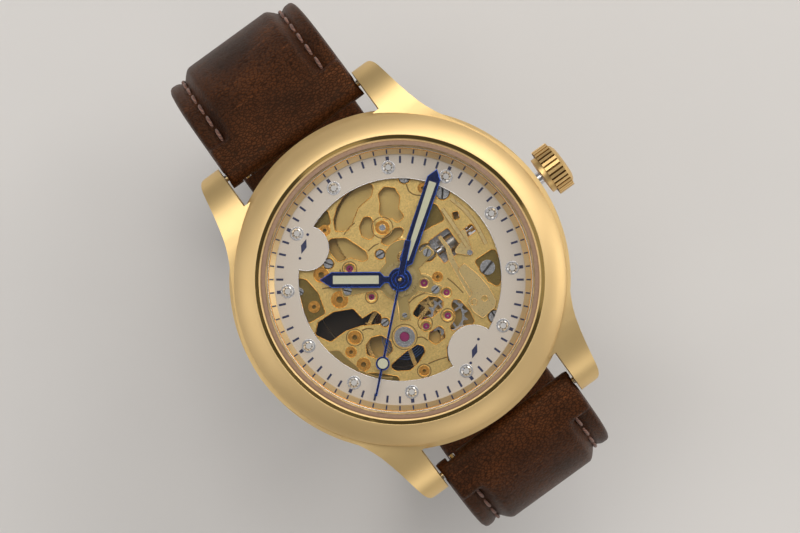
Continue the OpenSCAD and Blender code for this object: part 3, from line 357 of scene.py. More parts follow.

# Every edge colour below is a painted highlight on bevels and walls.
LOOKS = {
    "case": metal("case_gold", GOLD, GOLD_DEEP, 0.4, 90, bump=0.02, spread=0.04),
    "bezel": dished("bezel_gold", (0.87, 0.645, 0.325), (0.83, 0.6, 0.29), (0.2, 0.135, 0.045),
                    BEZEL_REFLECTION_R, 0.5),
    # the crown's groove colour is painted shade
    "crown": fluted("crown_gold", (0.84, 0.58, 0.25), (0.16, 0.085, 0.02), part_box("winding_stem"),
                    FLUTE_R, FLUTE_X),
    "polished": metal("polished_gold", (0.87, 0.61, 0.26), (0.78, 0.52, 0.2), 0.14, 25, bump=0.01,
                      spread=0.04),
    "plate": brushed_plate("plate_gilt", PLATE, PLATE_FLOOR_SHADE, PLATE_EDGE_HIGHLIGHT, PLATE_TOP, 0.34),
    # the bridges' darker gilt is painted shade, as they lie under the plate
    "bridge": metal("bridge_painted_shade", (0.5, 0.35, 0.13), (0.36, 0.25, 0.09), 0.4, 60, edge=(0.7, 0.45, 0.14)),
    "cover": metal("cover_gilt", (0.44, 0.33, 0.13), (0.3, 0.22, 0.085), 0.38, 70, (1, 5, 1),
                   edge=(0.7, 0.48, 0.17)),
    "hour_gear": metal("hour_gear_gilt", (0.5, 0.38, 0.17), (0.4, 0.3, 0.13), 0.3, 15, bump=0.01),
    "setting": metal("setting_gilt", (0.66, 0.5, 0.24), (0.52, 0.39, 0.17), 0.32, 60,
                     edge=(0.85, 0.62, 0.28)),
    "wheel": metal("gilt_wheel", GILT, GILT_DEEP, 0.25, 50, edge=(0.85, 0.55, 0.18)),
    "drum": metal("drum_gilt", (0.58, 0.42, 0.16), (0.42, 0.3, 0.11), 0.34, 50, (1, 6, 1),
                  edge=(0.8, 0.5, 0.16)),
    "orange": metal("sink_gold", (0.88, 0.45, 0.1), (0.74, 0.33, 0.05), 0.2, 30),
    "steel": metal("polished_steel", STEEL, STEEL_DEEP, 0.22, 40, edge=(0.72, 0.72, 0.74)),
    # the rotor is coloured nearly black as painted shade under the movement
    "rotor": metal("rotor_painted_shade", (0.04, 0.031, 0.024), (0.025, 0.019, 0.015), 0.42, 60,
                   edge=(0.3, 0.22, 0.12)),
    "spring": metal("spring_steel", (0.36, 0.41, 0.5), (0.25, 0.29, 0.36), 0.28, 40),
    "blue_spring": metal("blued_spring", (0.1, 0.2, 0.48), (0.06, 0.12, 0.32), 0.22, 30),
    # the movement ring is coloured nearly black as painted shade round the movement
    "holder": metal("holder_painted_shade", (0.05, 0.042, 0.034), (0.034, 0.028, 0.022), 0.45, 60),
    "blued": metal("blued_steel", (0.02, 0.03, 0.13), (0.012, 0.02, 0.09), 0.2, 30, bump=0.02, spread=0.05,
                   edge=(0.03, 0.12, 0.68)),
    "ring": metal("chapter_gold", (0.88, 0.68, 0.38), (0.8, 0.6, 0.32), 0.42, 120, bump=0.02),
    # painted highlight colours for the bright rims and lines
    "blue_highlight": metal("blue_highlight", (0.03, 0.13, 0.62), (0.02, 0.09, 0.5), 0.25, 30, bump=0.01),
    "gilt_highlight": metal("gilt_highlight", (0.86, 0.58, 0.22), (0.78, 0.48, 0.15), 0.2, 30, bump=0.01),
    "orange_highlight": metal("orange_highlight", (0.84, 0.46, 0.1), (0.72, 0.36, 0.06), 0.24, 30, bump=0.01),
    "silver": metal("silver_line", (0.82, 0.82, 0.83), (0.7, 0.7, 0.72), 0.2, 30, bump=0.01),
    "crystal": glassy("crystal_clear", (0.55, 0.6, 0.65), 0.012),
    "gasket": enamel("gasket_brown", (0.36, 0.225, 0.145), (0.3, 0.18, 0.115), 0.35, coat=0.2),
    "dial": enamel("dial_white", (0.62, 0.56, 0.49), (0.58, 0.52, 0.45), 0.42, grain=6, bump=0.02, coat=0.1),
    "ruby": gem("ruby", (0.34, 0.012, 0.13), (0.16, 0.0, 0.06), 0.1),
    "stone": gem("clear_stone", (0.96, 0.95, 0.93), (0.85, 0.84, 0.82), 0.0, 2.2, 0.03, 0.55),
    # dark facets: painted reflections
    "stone_dark_reflection": gem("facet_dark_reflection", (0.2, 0.185, 0.165), (0.1, 0.09, 0.08), 0.0, 2.2, 0.05, 0.4),
    "slot": metal("slot_shade", (0.07, 0.065, 0.06), (0.045, 0.04, 0.035), 0.5, 40),
    # painted shade for the joints and grooves, and for the sunk flange
    "groove": metal("groove_shade", (0.13, 0.085, 0.03), (0.09, 0.06, 0.02), 0.5, 40),
    "flange": metal("sunk_gilt_painted_shade", (0.3, 0.215, 0.075), (0.2, 0.14, 0.045), 0.42, 90),
    "dark_steel": metal("worn_steel", (0.3, 0.28, 0.25), (0.19, 0.175, 0.155), 0.32, 50,
                        edge=(0.62, 0.59, 0.54)),
    "ink": enamel("tick_navy", (0.012, 0.018, 0.085), (0.01, 0.014, 0.06), 0.4),
    "lume": enamel("lume_cream", (0.56, 0.56, 0.41), (0.5, 0.5, 0.35), 0.6, grain=8, bump=0.15),
    "leather": leather("brown_leather", (0.034, 0.0105, 0.0045), (0.105, 0.033, 0.0105), 0.38),
    "thread": thread("stitch_thread", (0.3, 0.15, 0.105), (0.13, 0.06, 0.045)),
}

NODE_LOOKS = {
    "case": ["mid_case", "case_back"],
    "bezel": ["bezel"],
    "crown": ["crown"],
    "polished": ["buckle_frame", "buckle_tang"],
    "rotor": ["rotor"],
    "silver": ["stone_settings"],
    "plate": ["main_plate"],
    "bridge": ["barrel_bridge", "train_bridge", "balance_cock", "pallet_bridge"],
    "cover": ["motion_cover"],
    "setting": ["setting_cover", "setting_lever", "yoke"],
    "wheel": ["centre_wheel", "third_wheel", "fourth_wheel", "minute_wheel", "balance_wheel"],
    "hour_gear": ["hour_wheel"],
    "drum": ["barrel_drum"],
    "orange": ["plate_bushes"],
    "dark_steel": ["sliding_clutch", "winding_pinion", "setting_wheel"],
    "steel": ["crown_tube", "spring_bars", "winding_stem", "seconds_pinion", "barrel_arbor", "ratchet_wheel",
              "crown_wheel", "click", "cannon_pinion", "escape_wheel", "pallet_fork", "shock_setting",
              "movement_screws", "rotor_bearing", "buckle_bar"],
    "spring": ["mainspring"],
    "blue_spring": ["hairspring"],
    "holder": ["movement_ring"],
    "blued": ["hour_hand", "minute_hand", "seconds_hand"],
    "ring": ["chapter_ring"],
    "crystal": ["crystal", "back_crystal"],
    "gasket": ["gaskets"],
    "dial": ["dial"],
    "ruby": ["jewels", "pallet_stones"],
}


def clean_group():
    """Geometry nodes that drop a CAD mesh's stored normals, weld it and shade it smooth."""
    group = bpy.data.node_groups.new("weld", "GeometryNodeTree")
    for way in ("INPUT", "OUTPUT"):
        group.interface.new_socket("Geometry", in_out=way, socket_type="NodeSocketGeometry")
    drop = group.nodes.new("GeometryNodeRemoveAttribute")
    drop.inputs["Name"].default_value = "custom_normal"
    weld = group.nodes.new("GeometryNodeMergeByDistance")
    weld.inputs["Distance"].default_value = 0.0005 * MM
    smooth = group.nodes.new("GeometryNodeSetShadeSmooth")
    made = group.nodes.new("NodeGroupInput").outputs[0]
    for step in (drop, weld, smooth):
        group.links.new(made, step.inputs["Geometry"])
        made = step.outputs["Geometry"]
    group.links.new(made, group.nodes.new("NodeGroupOutput").inputs[0])
    return group


WELD = clean_group()
FLAT_ANGLE = radians(0.6)  # triangles this close to level are joined before the bevel
BEVEL_ANGLE = radians(32)  # corners sharper than this get a bevel


def add_step(obj, name, kind, **settings):
    put(obj.modifiers.new(name, kind), **settings)


def soften(obj, width):
    """Small bevels on a CAD node's corners, which catch the light as turned edges do."""
    add_step(obj, "weld", "NODES", node_group=WELD)
    add_step(obj, "flat", "DECIMATE", decimate_type="DISSOLVE", angle_limit=FLAT_ANGLE)
    add_step(obj, "bevel", "BEVEL", width=width, segments=2, limit_method="ANGLE", angle_limit=BEVEL_ANGLE,
             use_clamp_overlap=True, face_strength_mode="FSTR_ALL")
    add_step(obj, "normals", "WEIGHTED_NORMAL", use_face_influence=True)


# Bevel widths in millimetres
BEVELS = {
    0.03: ["yoke", "chapter_ring"],
    0.04: ["dial", "motion_cover", "setting_cover", "setting_lever", "pallet_bridge", "balance_wheel",
           "barrel_drum"],
    0.045: ["minute_hand"],
    0.05: ["hour_hand", "crown_tube", "spring_bars"],
    0.06: ["bezel"],
    0.07: ["main_plate"],
    0.08: ["barrel_bridge", "train_bridge", "balance_cock", "rotor"],
    0.1: ["case_back"],
    0.12: ["buckle_tang"],
    0.18: ["mid_case"],
    0.3: ["buckle_frame"],
}


def dress_frame():
    for look, names in NODE_LOOKS.items():
        for name in names:
            slots = nodes[name].data.materials
            slots.clear()
            slots.append(LOOKS[look])
    for width, names in BEVELS.items():
        for name in names:
            soften(nodes[name], width * MM)


# ---- mesh helpers


def circle(count):
    """Angles evenly spaced round a circle."""
    return [2 * pi * i / count for i in range(count)]


def circle_outline(x, y, r, count=48):
    return [(x + r * cos(a), y + r * sin(a)) for a in circle(count)]


class Shape:
    """A mesh put together from simple solids; each call that adds one hands the shape back."""

    def __init__(self, verts=(), faces=()):
        self.verts, self.faces = list(verts), list(faces)

    def block(self, low, high):
        """Adds a closed prism between two outlines of equal length."""
        base, n = len(self.verts), len(low)
        self.verts += low + high
        self.faces.append(tuple(base + i for i in reversed(range(n))))
        self.faces.append(tuple(base + n + i for i in range(n)))
        for i in range(n):
            j = (i + 1) % n
            self.faces.append((base + i, base + j, base + n + j, base + n + i))
        return self

    def slab(self, outline, z0, z1):
        """Adds a level prism of a given outline, in millimetres."""
        return self.block(*([Vector((*p, z)) * MM for p in outline] for z in (z0, z1)))

    def tube(self, rings):
        """Adds a solid through closed rings of equal length, with flat ends."""
        base, count = len(self.verts), len(rings[0])
        self.verts += [p for ring in rings for p in ring]
        for i in range(len(rings) - 1):
            here, ahead = base + i * count, base + (i + 1) * count
            for j in range(count):
                k = (j + 1) % count
                self.faces.append((here + j, here + k, ahead + k, ahead + j))
        self.faces.append(tuple(base + i for i in reversed(range(count))))
        self.faces.append(tuple(base + i for i in range((len(rings) - 1) * count, len(rings) * count)))
        return self

    def hoop(self, points, count):
        """Adds a tube that closes on itself, from sections of count points each."""
        base, sections = len(self.verts), len(points) // count
        self.verts += points
        for i in range(sections):
            here, ahead = base + i * count, base + (i + 1) % sections * count
            for j in range(count):
                k = (j + 1) % count
                self.faces.append((here + j, ahead + j, ahead + k, here + k))
        return self

    def turned(self, x, y, profile, steps):
        """Adds a ring turned about an upright axis, from a closed profile of radius and height."""
        points = [Vector((x + r * cos(a), y + r * sin(a), z)) * MM for a in circle(steps) for r, z in profile]
        return self.hoop(points, len(profile))

    def collar(self, x, y, inner, outer, low, high):
        self.turned(x, y, [(inner, low), (outer, low), (outer, high), (inner, high)], 64)

    def strip(self, line, shift, half, low, high):
        """Adds a thin flat ribbon that runs beside a line."""
        left, right = [], []
        for i, p in enumerate(line):
            along = (line[min(i + 1, len(line) - 1)] - line[max(i - 1, 0)]).normalized()
            side = Vector((-along.y, along.x))
            left.append(p + side * (shift + half))
            right.append(p + side * (shift - half))
        self.slab(right + left[::-1], low, high)

    def plain(self, name):
        """The mesh as a bare object, such as a cutter."""
        mesh = bpy.data.meshes.new(name)
        mesh.from_pydata([tuple(v) for v in self.verts], [], self.faces)
        return add_object(name, mesh)

    def piece(self, name, look, slot, body="case", smooth=False):
        """The mesh as a new piece: its look and the body it rides on; the slot argument is not used."""
        obj = self.plain(name)
        obj.data.validate()
        obj.data.update()
        for poly in obj.data.polygons:
            poly.use_smooth = smooth
        obj.data.materials.append(LOOKS[look])
        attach(obj, body)
        return obj


def flat_piece(name, outline, z0, z1, angle, look, slot, body="case", bevel=0.0):
    """A thin plate of a given outline, turned about the hands' axis."""
    turn = Matrix.Rotation(radians(angle), 2)
    obj = Shape().slab([turn @ Vector(p) for p in outline], z0, z1).piece(name, look, slot, body)
    if bevel:
        add_step(obj, "bevel", "BEVEL", width=bevel * MM, segments=2, limit_method="ANGLE")


# ---- painted highlights: bright rims on cut edges

EDGE_WELD = 0.0008 * MM
RIM_SIDES = 6
RIM_SINK = 0.35  # how far a rim line lies below its edge, in its own radii


def welded(node):
    """A CAD node's mesh with its triangles joined, to be read and freed."""
    shape = bmesh.new()
    shape.from_mesh(nodes[node].data)
    bmesh.ops.remove_doubles(shape, verts=shape.verts, dist=EDGE_WELD)
    shape.normal_update()
    return shape


def top_edges(node):
    """Where a CAD node's top face meets its walls: the corners' places, and each one's neighbours."""
    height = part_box(node)[1].z
    shape = welded(node)
    near = {}
    for edge in shape.edges:
        if len(edge.link_faces) != 2 or any(abs(v.co.z - height) > 0.01 * MM for v in edge.verts):
            continue
        ups = sorted(abs(face.normal.z) for face in edge.link_faces)
        if ups[0] < 0.6 and ups[1] > 0.95:
            a, b = (v.index for v in edge.verts)
            near.setdefault(a, []).append(b)
            near.setdefault(b, []).append(a)
    place = {v.index: v.co.copy() for v in shape.verts if v.index in near}
    shape.free()
    return place, near


def edge_loops(place, near):
    """Closed runs of places, each found by walking from neighbour to neighbour."""
    used = set()
    for first in sorted(near):
        if first in used or len(near[first]) != 2:
            continue
        loop, previous, here = [first], None, first
        used.add(first)
        while True:
            ahead = [n for n in near[here] if n != previous and (n not in used or n == first)]
            if not ahead or ahead[0] == first:
                break
            previous, here = here, ahead[0]
            used.add(here)
            loop.append(here)
        yield [place[i] for i in loop]


def highlight_rims(name, node, radius, look="gilt_highlight", slot="gold_plate", body="case", shortest=0.0):
    """A thin bright line along a CAD node's upper edges: a painted highlight where a cut chamfer catches the
    light.
    """
    shape = Shape()
    for loop in edge_loops(*top_edges(node)):
        length = sum((loop[i] - loop[i - 1]).length for i in range(len(loop)))
        if len(loop) < 8 or length < shortest * MM:
            continue
        points = []
        for before, here, after in zip(loop[-1:] + loop, loop, loop[1:] + loop[:1]):
            along = (here - before).normalized() + (after - here).normalized()
            along = along.normalized() if along.length > 1e-6 else (after - here).normalized()
            side = Vector((-along.y, along.x, 0))
            for t in circle(RIM_SIDES):
                up = Vector((0, 0, sin(t) - RIM_SINK))
                points.append(here + (side * cos(t) + up) * radius * MM)
        shape.hoop(points, RIM_SIDES)
    if shape.verts:
        shape.piece(name, look, slot, body, smooth=True)


def add_highlight_rims():
    # each rim below is a painted highlight
    highlight_rims("plate_rims", "main_plate", 0.06, "orange_highlight", "orange_gold")
    highlight_rims("bush_rims", "plate_bushes", 0.05)
    highlight_rims("motion_cover_rims", "motion_cover", 0.045)
    highlight_rims("setting_cover_rims", "setting_cover", 0.045)
    highlight_rims("yoke_rims", "yoke", 0.04, body="yoke", shortest=4)
    highlight_rims("lever_rims", "setting_lever", 0.04, body="setting_lever", shortest=4)
    highlight_rims("hour_hand_rims", "hour_hand", 0.05, "blue_highlight", "blued_hand", "hour_wheel")
    highlight_rims("minute_hand_rims", "minute_hand", 0.05, "blue_highlight", "blued_hand", "centre_wheel")
    highlight_rims("seconds_hand_rims", "seconds_hand", 0.035, "blue_highlight", "blued_hand", "seconds")
    highlight_rims("dial_rim", "dial", 0.045, "silver", "dial_white")


# ---- strap

# Each bend: (length in millimetres, change of heading in degrees), as in the CAD
SHORT_BENDS = [(3, 5), (18, 75), (31.4, 90), (18, 0)]
LONG_BENDS = [(3, 10), (11.5, 60), (14, 0), (42.4, 90), (34, 32)]
SHORT_HEADING, LONG_HEADING = 10, 20
BAR_Y, BAR_Z = 22.25, 3.4
BAR_ROOM = 0.85  # radius of the tunnel round the spring bar
KNOB_X, KNOB_REACH = (-8.3, -6.7), 3  # room for the spring bar's release knob, across and along
STRAP_ACROSS = 15  # half the length of a cutter that passes right across the strap
WRAP_R = 1.55
STITCH_X = 7.45  # stitch line, from the strap's middle
FOLD_END = 3.1  # where the leather folded round the bar ends
PAD_FADE = 46  # length over which the padding thins out
FULL_THICK, THIN_THICK = 4.2, 2.2
LUG_HALF_W, END_HALF_W = 9.75, 8.95
EDGE_R = 0.55  # rounding of the cut edges
STITCH_PITCH, STITCH_LENGTH, STITCH_R, STITCH_SLANT = 2.3, 1.85, 0.21, 0.12
HOLES, HOLE_PITCH, FIRST_HOLE, HOLE_R = 5, 6.5, 10, 0.9
LOOP_R, PIN_R, PIN_ROOM = 1.7, 0.9, 1.5
TANG_HALF_W = 1.6
KEEPER_THICK, KEEPER_HALF = 0.8, 1.5  # thickness, and half the length along the strap
KEEPER_FIXED, KEEPER_FREE = 5, 10  # distance of each keeper's middle from the buckle's bar
# Section of a keeper: along the strap, and outwards
KEEPER_SECTION = [(-1, 0), (-0.97, 0.6), (-0.8, 0.93), (-0.4, 1.05), (0, 1.08), (0.4, 1.05), (0.8, 0.93),
                  (0.97, 0.6), (1, 0), (0.9, 0), (-0.9, 0)]


class Path:
    """The strap's middle line in the YZ plane: position and heading against length."""

    def __init__(self, bends, heading, side):
        self.side = side
        self.parts = []
        y, z, start = BAR_Y, BAR_Z, 0.0
        for length, turn in bends:
            self.parts.append((start, length, turn, y, z, heading))
            y, z, heading = self._step(length, length, turn, y, z, heading)
            start += length
        self.length = start

    @staticmethod
    def _step(s, length, turn, y, z, heading):
        h0 = radians(heading)
        if not turn:
            return y + s * cos(h0), z - s * sin(h0), heading
        radius = length / radians(turn)
        h1 = h0 + s / radius
        y += radius * (sin(h1) - sin(h0))
        z += radius * (cos(h1) - cos(h0))
        return y, z, degrees(h1)

    def at(self, s):
        part = [p for p in self.parts if p[0] <= max(s, 0)][-1]
        return self._step(s - part[0], *part[1:])

    def point(self, s, x, n):
        """The place at length s, x across the strap and n along its outward normal, in metres."""
        y, z, heading = self.at(s)
        h = radians(heading)
        return Vector((x, self.side * (y + n * sin(h)), z + n * cos(h))) * MM


def ease(value, low, high):
    """A smooth step from nought at low to one at high."""
    t = min(1.0, max(0.0, (value - low) / (high - low)))
    return t * t * (3 - 2 * t)


def strap_half_width(path, s):
    """The strap narrows as it drops away from the lugs."""
    _, z, _ = path.at(s)
    return LUG_HALF_W + (END_HALF_W - LUG_HALF_W) * ease(BAR_Z - z, 2, 36)


def strap_surface(s, x, half_w):
    """Heights of the outer and the inner face over the middle line."""
    fade = (1 - min(1.0, s / PAD_FADE)) ** 1.2
    full = THIN_THICK / 2 + (FULL_THICK - THIN_THICK) / 2 * fade
    edge = abs(x)
    # the outer face: flat margins, a groove along each stitch line and padding between them
    margin = 0.45 + 0.35 * fade
    pad = 1 - ease(edge, STITCH_X - 1.7, STITCH_X - 0.2)
    groove = 0.3 * exp(-((edge - STITCH_X) / 0.42) ** 2)
    roll = 0.14 * ease(edge, STITCH_X + 0.3, STITCH_X + 1.1)
    crown = margin + (full - margin) * pad ** 0.8 - groove + roll
    # the flap that is folded round the bar lies over it as far as FOLD_END
    wrap = WRAP_R + 0.45 * ease(s, 0, FOLD_END) - 0.12 * (edge / half_w) ** 6
    cover = 1 - ease(s, FOLD_END - 2.4 * pad, FOLD_END + 0.9 + 3 * pad)
    outer = wrap * cover + crown * (1 - cover)
    inner = -(full * 0.8 + (WRAP_R - full * 0.8) * (1 - ease(s, FOLD_END, FOLD_END + 1.1)))
    return outer, inner


def strap_ring(path, s, width_scale=1.0):
    """One closed section of the strap, over the outer face and back under it."""
    half_w = strap_half_width(path, s) * width_scale
    flat = half_w - EDGE_R
    across = [flat * (-1 + i / 28) for i in range(57)]
    ring = [(x, strap_surface(s, x, half_w)[0]) for x in across]
    top_edge, low_edge = strap_surface(s, flat, half_w)
    middle, half = (top_edge + low_edge) / 2, (top_edge - low_edge) / 2
    turn = [radians(a) for a in (60, 30, 0, -30, -60)]
    right = [(flat + EDGE_R * cos(a), middle + half * sin(a)) for a in turn]
    ring += right
    ring += [(x, strap_surface(s, x, half_w)[1]) for x in reversed(across[::2])]
    ring += [(-x, n) for x, n in reversed(right)]
    return [path.point(s, x, n) for x, n in ring]


def wrap_rings(path):
    """Sections of the leather that goes round the bar, as slices of a half cylinder from its tip."""
    ring = strap_ring(path, 0.0)
    bar_line = Vector((0, path.side * BAR_Y * MM, BAR_Z * MM))
    _, _, heading = path.at(0)
    h = radians(heading)
    back = Vector((0, -path.side * cos(h), sin(h)))
    rings = []
    for shift in (0.999, 0.93, 0.82, 0.66, 0.45, 0.22):
        scale = sqrt(1 - shift * shift)
        moved = []
        for p in ring:
            centre = Vector((p.x, bar_line.y, bar_line.z))
            moved.append(centre + (p - centre) * scale + back * (shift * WRAP_R * MM))
        rings.append(moved)
    return rings


def strap_leather(name, path, node, tip):
    """One half's leather, on the body of the same name as its CAD node; tip narrows its end."""
    rings = wrap_rings(path)
    s = 0.0
    while s < path.length:
        rings.append(strap_ring(path, s, tip(s)))
        s += 0.3 if s < 6 else 0.75  # finer near the bar
    rings.append(strap_ring(path, path.length, tip(path.length)))
    obj = Shape().tube(rings).piece(name, "leather", "leather_brown", node, smooth=True)
    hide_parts(node)
    return obj


def cut(obj, cutter):
    """Takes the cutter's shape out of a mesh and deletes the cutter."""
    add_step(obj, "cut", "BOOLEAN", object=cutter, operation="DIFFERENCE", solver="EXACT")
    bpy.context.view_layer.objects.active = obj
    bpy.ops.object.modifier_apply(modifier="cut")
    bpy.data.objects.remove(cutter)


def rod_cutter(start, end, radius):
    """A plain cylinder between two points."""
    axis = (end - start).normalized()
    side = axis.orthogonal().normalized()
    other = axis.cross(side)
    rings = [[p + (side * cos(a) + other * sin(a)) * radius for a in circle(24)] for p in (start, end)]
    return Shape().tube(rings).plain("rod_cutter")


def tunnel_cutter(y, z, radius):
    """A cylinder right across the strap, all in metres."""
    return rod_cutter(Vector((-STRAP_ACROSS * MM, y, z)), Vector((STRAP_ACROSS * MM, y, z)), radius)


def box_cutter(low, high):
    corners = [(x, y, z) for x in (low[0], high[0]) for y in (low[1], high[1]) for z in (low[2], high[2])]
    sides = [(0, 1, 3, 2), (4, 6, 7, 5), (0, 4, 5, 1), (2, 3, 7, 6), (0, 2, 6, 4), (1, 5, 7, 3)]
    return Shape(corners, sides).plain("box_cutter")


def cut_bar_room(obj, side, knob_top):
    """A tunnel for the spring bar, and room for its release knob as the strap swings."""
    y, z = side * BAR_Y * MM, BAR_Z * MM
    cut(obj, tunnel_cutter(y, z, BAR_ROOM * MM))
    near, far = sorted((y, y - side * KNOB_REACH * MM))
    left, right = KNOB_X
    cut(obj, box_cutter((left * MM, near, z - KNOB_REACH * MM), (right * MM, far, z + knob_top * MM)))


def stitch(path, first, side, jitter):
    """Sections of one stitch, which dips into the leather at both ends."""
    rings = []
    for i in range(9):
        t = i / 8
        s = first + STITCH_LENGTH * t
        x = side * (STITCH_X + STITCH_SLANT * side * (t - 0.5)) + jitter * 0.5
        outer, _ = strap_surface(s, x, strap_half_width(path, s))
        sink = 0.24 - 0.5 * (1 - sin(pi * min(max(t, 0.02), 0.98)) ** 0.35)
        swell = STITCH_R * (0.35 + 0.65 * sin(pi * min(max(t, 0.04), 0.96)) ** 0.4)
        rings.append([path.point(s, x + swell * cos(a), outer + sink + swell * sin(a))
                      for a in circle(10)])
    return rings


def stitch_rows(name, path, body, first, last):
    """Two rows of waxed thread stitches that lie in the strap's grooves."""
    shape = Shape()
    for side in (-1, 1):
        s = first
        while s + STITCH_LENGTH < last:
            shape.tube(stitch(path, s, side, random.uniform(-0.05, 0.05)))
            s += STITCH_PITCH
    shape.piece(name, "thread", "leather_brown", body, smooth=True)


def signed_power(value, power):
    return copysign(abs(value) ** power, value)


def keeper_loop(name, y, body):
    """A leather loop round both halves' ends, bent to a superellipse."""
    low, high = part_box("free_keeper")
    half_w, half_h, mid_z = high.x, (high.z - low.z) / 2, (high.z + low.z) / 2
    thick = KEEPER_THICK * MM
    points = []
    for a in circle(64):
        c, q = cos(a), sin(a)
        x = (half_w - thick) * signed_power(c, 0.24)
        z = mid_z + (half_h - thick) * signed_power(q, 0.24)
        out = Vector((signed_power(c, 1.6) / half_w, 0, signed_power(q, 1.6) / half_h)).normalized()
        for along, up in KEEPER_SECTION:
            points.append(Vector((x, y + along * KEEPER_HALF * MM, z)) + out * (thick * 0.92 * up))
    shape = Shape().hoop(points, len(KEEPER_SECTION))
    return shape.piece(name, "leather", "leather_brown", body, smooth=True)


def buckle_loop(name, side, pin_y, pin_z):
    """Half of the short end's fold round the buckle's bar, open in the middle for the tang."""
    low, high = sorted((side * TANG_HALF_W, side * END_HALF_W))
    rings = []
    for x, scale in ((low, 0.9), (low + 0.15, 1.0), (high - 0.15, 1.0), (high, 0.9)):
        r = LOOP_R * MM * scale
        rings.append([Vector((x * MM, pin_y + r * cos(a), pin_z + r * sin(a))) for a in circle(40)])
    loop = Shape().tube(rings).piece(name, "leather", "leather_brown", "strap_short", smooth=True)
    cut(loop, tunnel_cutter(pin_y, pin_z, PIN_R * MM))


def build_strap():
    short = Path(SHORT_BENDS, SHORT_HEADING, 1)
    long = Path(LONG_BENDS, LONG_HEADING, -1)
    low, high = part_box("buckle_bar")
    pin_y, pin_z = (low.y + high.y) / 2, (low.z + high.z) / 2

    def rounded_tip(s):
        return sqrt(max(0.04, 1 - ease(s, long.length - 9, long.length + 0.6) ** 2))

    short_leather = strap_leather("short_leather", short, "strap_short", lambda s: 1.0)
    cut_bar_room(short_leather, 1, 0.75)
    long_leather = strap_leather("long_leather", long, "strap_long", rounded_tip)
    cut_bar_room(long_leather, -1, 1.1)
    for i in range(HOLES):
        s = long.length - FIRST_HOLE - HOLE_PITCH * i
        cut(long_leather, rod_cutter(long.point(s, 0, -4), long.point(s, 0, 4), HOLE_R * MM))
    stitch_rows("short_stitches", short, "strap_short", FOLD_END + 0.8, short.length - 10)
    stitch_rows("long_stitches", long, "strap_long", FOLD_END + 0.8, long.length - 9)
    buckle_loop("buckle_loop_left", -1, pin_y, pin_z)
    buckle_loop("buckle_loop_right", 1, pin_y, pin_z)
    cut(short_leather, box_cutter((-TANG_HALF_W * MM, pin_y - 5 * MM, pin_z - 4 * MM),
                                  (TANG_HALF_W * MM, pin_y + 4.5 * MM, pin_z + 4 * MM)))
    cut(short_leather, tunnel_cutter(pin_y, pin_z, PIN_ROOM * MM))
    keeper_loop("fixed_keeper_leather", pin_y + KEEPER_FIXED * MM, "strap_short")
    free_keeper = keeper_loop("free_keeper_leather", pin_y + KEEPER_FREE * MM, "keeper")
    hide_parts("free_keeper")


# ---- dial, stones and hands

DIAL_Z = DIAL_TOP / MM
PRINT = (DIAL_Z - 0.005, DIAL_Z + 0.02)  # printed shapes start just under the dial's face
TICK_OUT = 14.85
MINUTE_TICK, HOUR_TICK = (0.13, 14.0), (0.2, 14.28)  # half a stroke's width, and where it starts
CHAPTER_IN, CHAPTER_OUT = (15.07, 7.85), (15.75, 8.6)  # radius and height of the sloping ring's edges
CHAPTER_TICK_R, CHAPTER_TICK_HALF, CHAPTER_RISE = (15.16, 15.66), 0.085, 0.015
SILVER_PROFILE = [(15.82, 8.57), (15.92, 8.57), (15.92, 8.66), (15.87, 8.69), (15.82, 8.66)]
GILT_PROFILE = [(15.69, 8.56), (15.77, 8.58), (15.77, 8.67), (15.69, 8.65)]
LOBE_MARKS = {"upper": (-7.0, 10.0), "lower": (2.2, -12.2)}
LOZENGE = [(-0.95, 0), (0, -0.36), (0.95, 0), (0, 0.36)]
DOT_AT, DOT_R = 1.5, 0.17
STONE_AT, STONE_Z, STONE_R = 13.55, 7.56, 0.66
HOUR_TURN, MINUTE_TURN, SECONDS_TURN = 144.3, 35.5, 222.4  # the hands' angles at rest, from +X


def minute_directions():
    """Outward and sideways unit vectors at each of the sixty minutes, from twelve o'clock."""
    for i in range(60):
        a = radians(90 - 6 * i)
        yield i, Vector((cos(a), sin(a))), Vector((-sin(a), cos(a)))


def dial_ticks():
    """Sixty printed minute strokes on the dial, wider at the hours, and a finer row on the chapter ring."""
    shape = Shape()
    for i, out, side in minute_directions():
        half, start = MINUTE_TICK if i % 5 else HOUR_TICK
        corners = ((start, -half), (TICK_OUT, -half), (TICK_OUT, half), (start, half))
        shape.slab([out * r + side * s for r, s in corners], *PRINT)
    shape.piece("minute_ticks", "ink", "blued_hand")
    shape = Shape()
    slope = (CHAPTER_OUT[1] - CHAPTER_IN[1]) / (CHAPTER_OUT[0] - CHAPTER_IN[0])
    near, far = CHAPTER_TICK_R
    lift = Vector((0, 0, CHAPTER_RISE))
    for _, out, side in minute_directions():
        outline = []
        for r, s in ((near, -1), (far, -1), (far, 1), (near, 1)):
            flat = out * r + side * CHAPTER_TICK_HALF * s
            outline.append(Vector((*flat, CHAPTER_IN[1] + slope * (r - CHAPTER_IN[0]))))
        shape.block([(p - lift) * MM for p in outline], [(p + lift) * MM for p in outline])
    shape.piece("chapter_ticks", "ink", "blued_hand")


def dial_lines():
    """The bright line outside the chapter ring and the thin gilt one on its rim."""
    Shape().turned(0, 0, SILVER_PROFILE, 180).piece("silver_line", "silver", "steel", smooth=True)
    Shape().turned(0, 0, GILT_PROFILE, 180).piece("gilt_line", "orange", "orange_gold", smooth=True)


def lobe_marks():
    """A plain lozenge between two dots on each lobe of the dial, level in the picture."""
    spin = Matrix.Rotation(-VIEW_TURN, 2)
    for name, place in LOBE_MARKS.items():
        shape = Shape()
        for outline in (LOZENGE, circle_outline(-DOT_AT, 0, DOT_R, 20), circle_outline(DOT_AT, 0, DOT_R, 20)):
            shape.slab([spin @ Vector(p) + Vector(place) for p in outline], *PRINT)
        shape.piece(name + "_lobe_mark", "ink", "blued_hand")


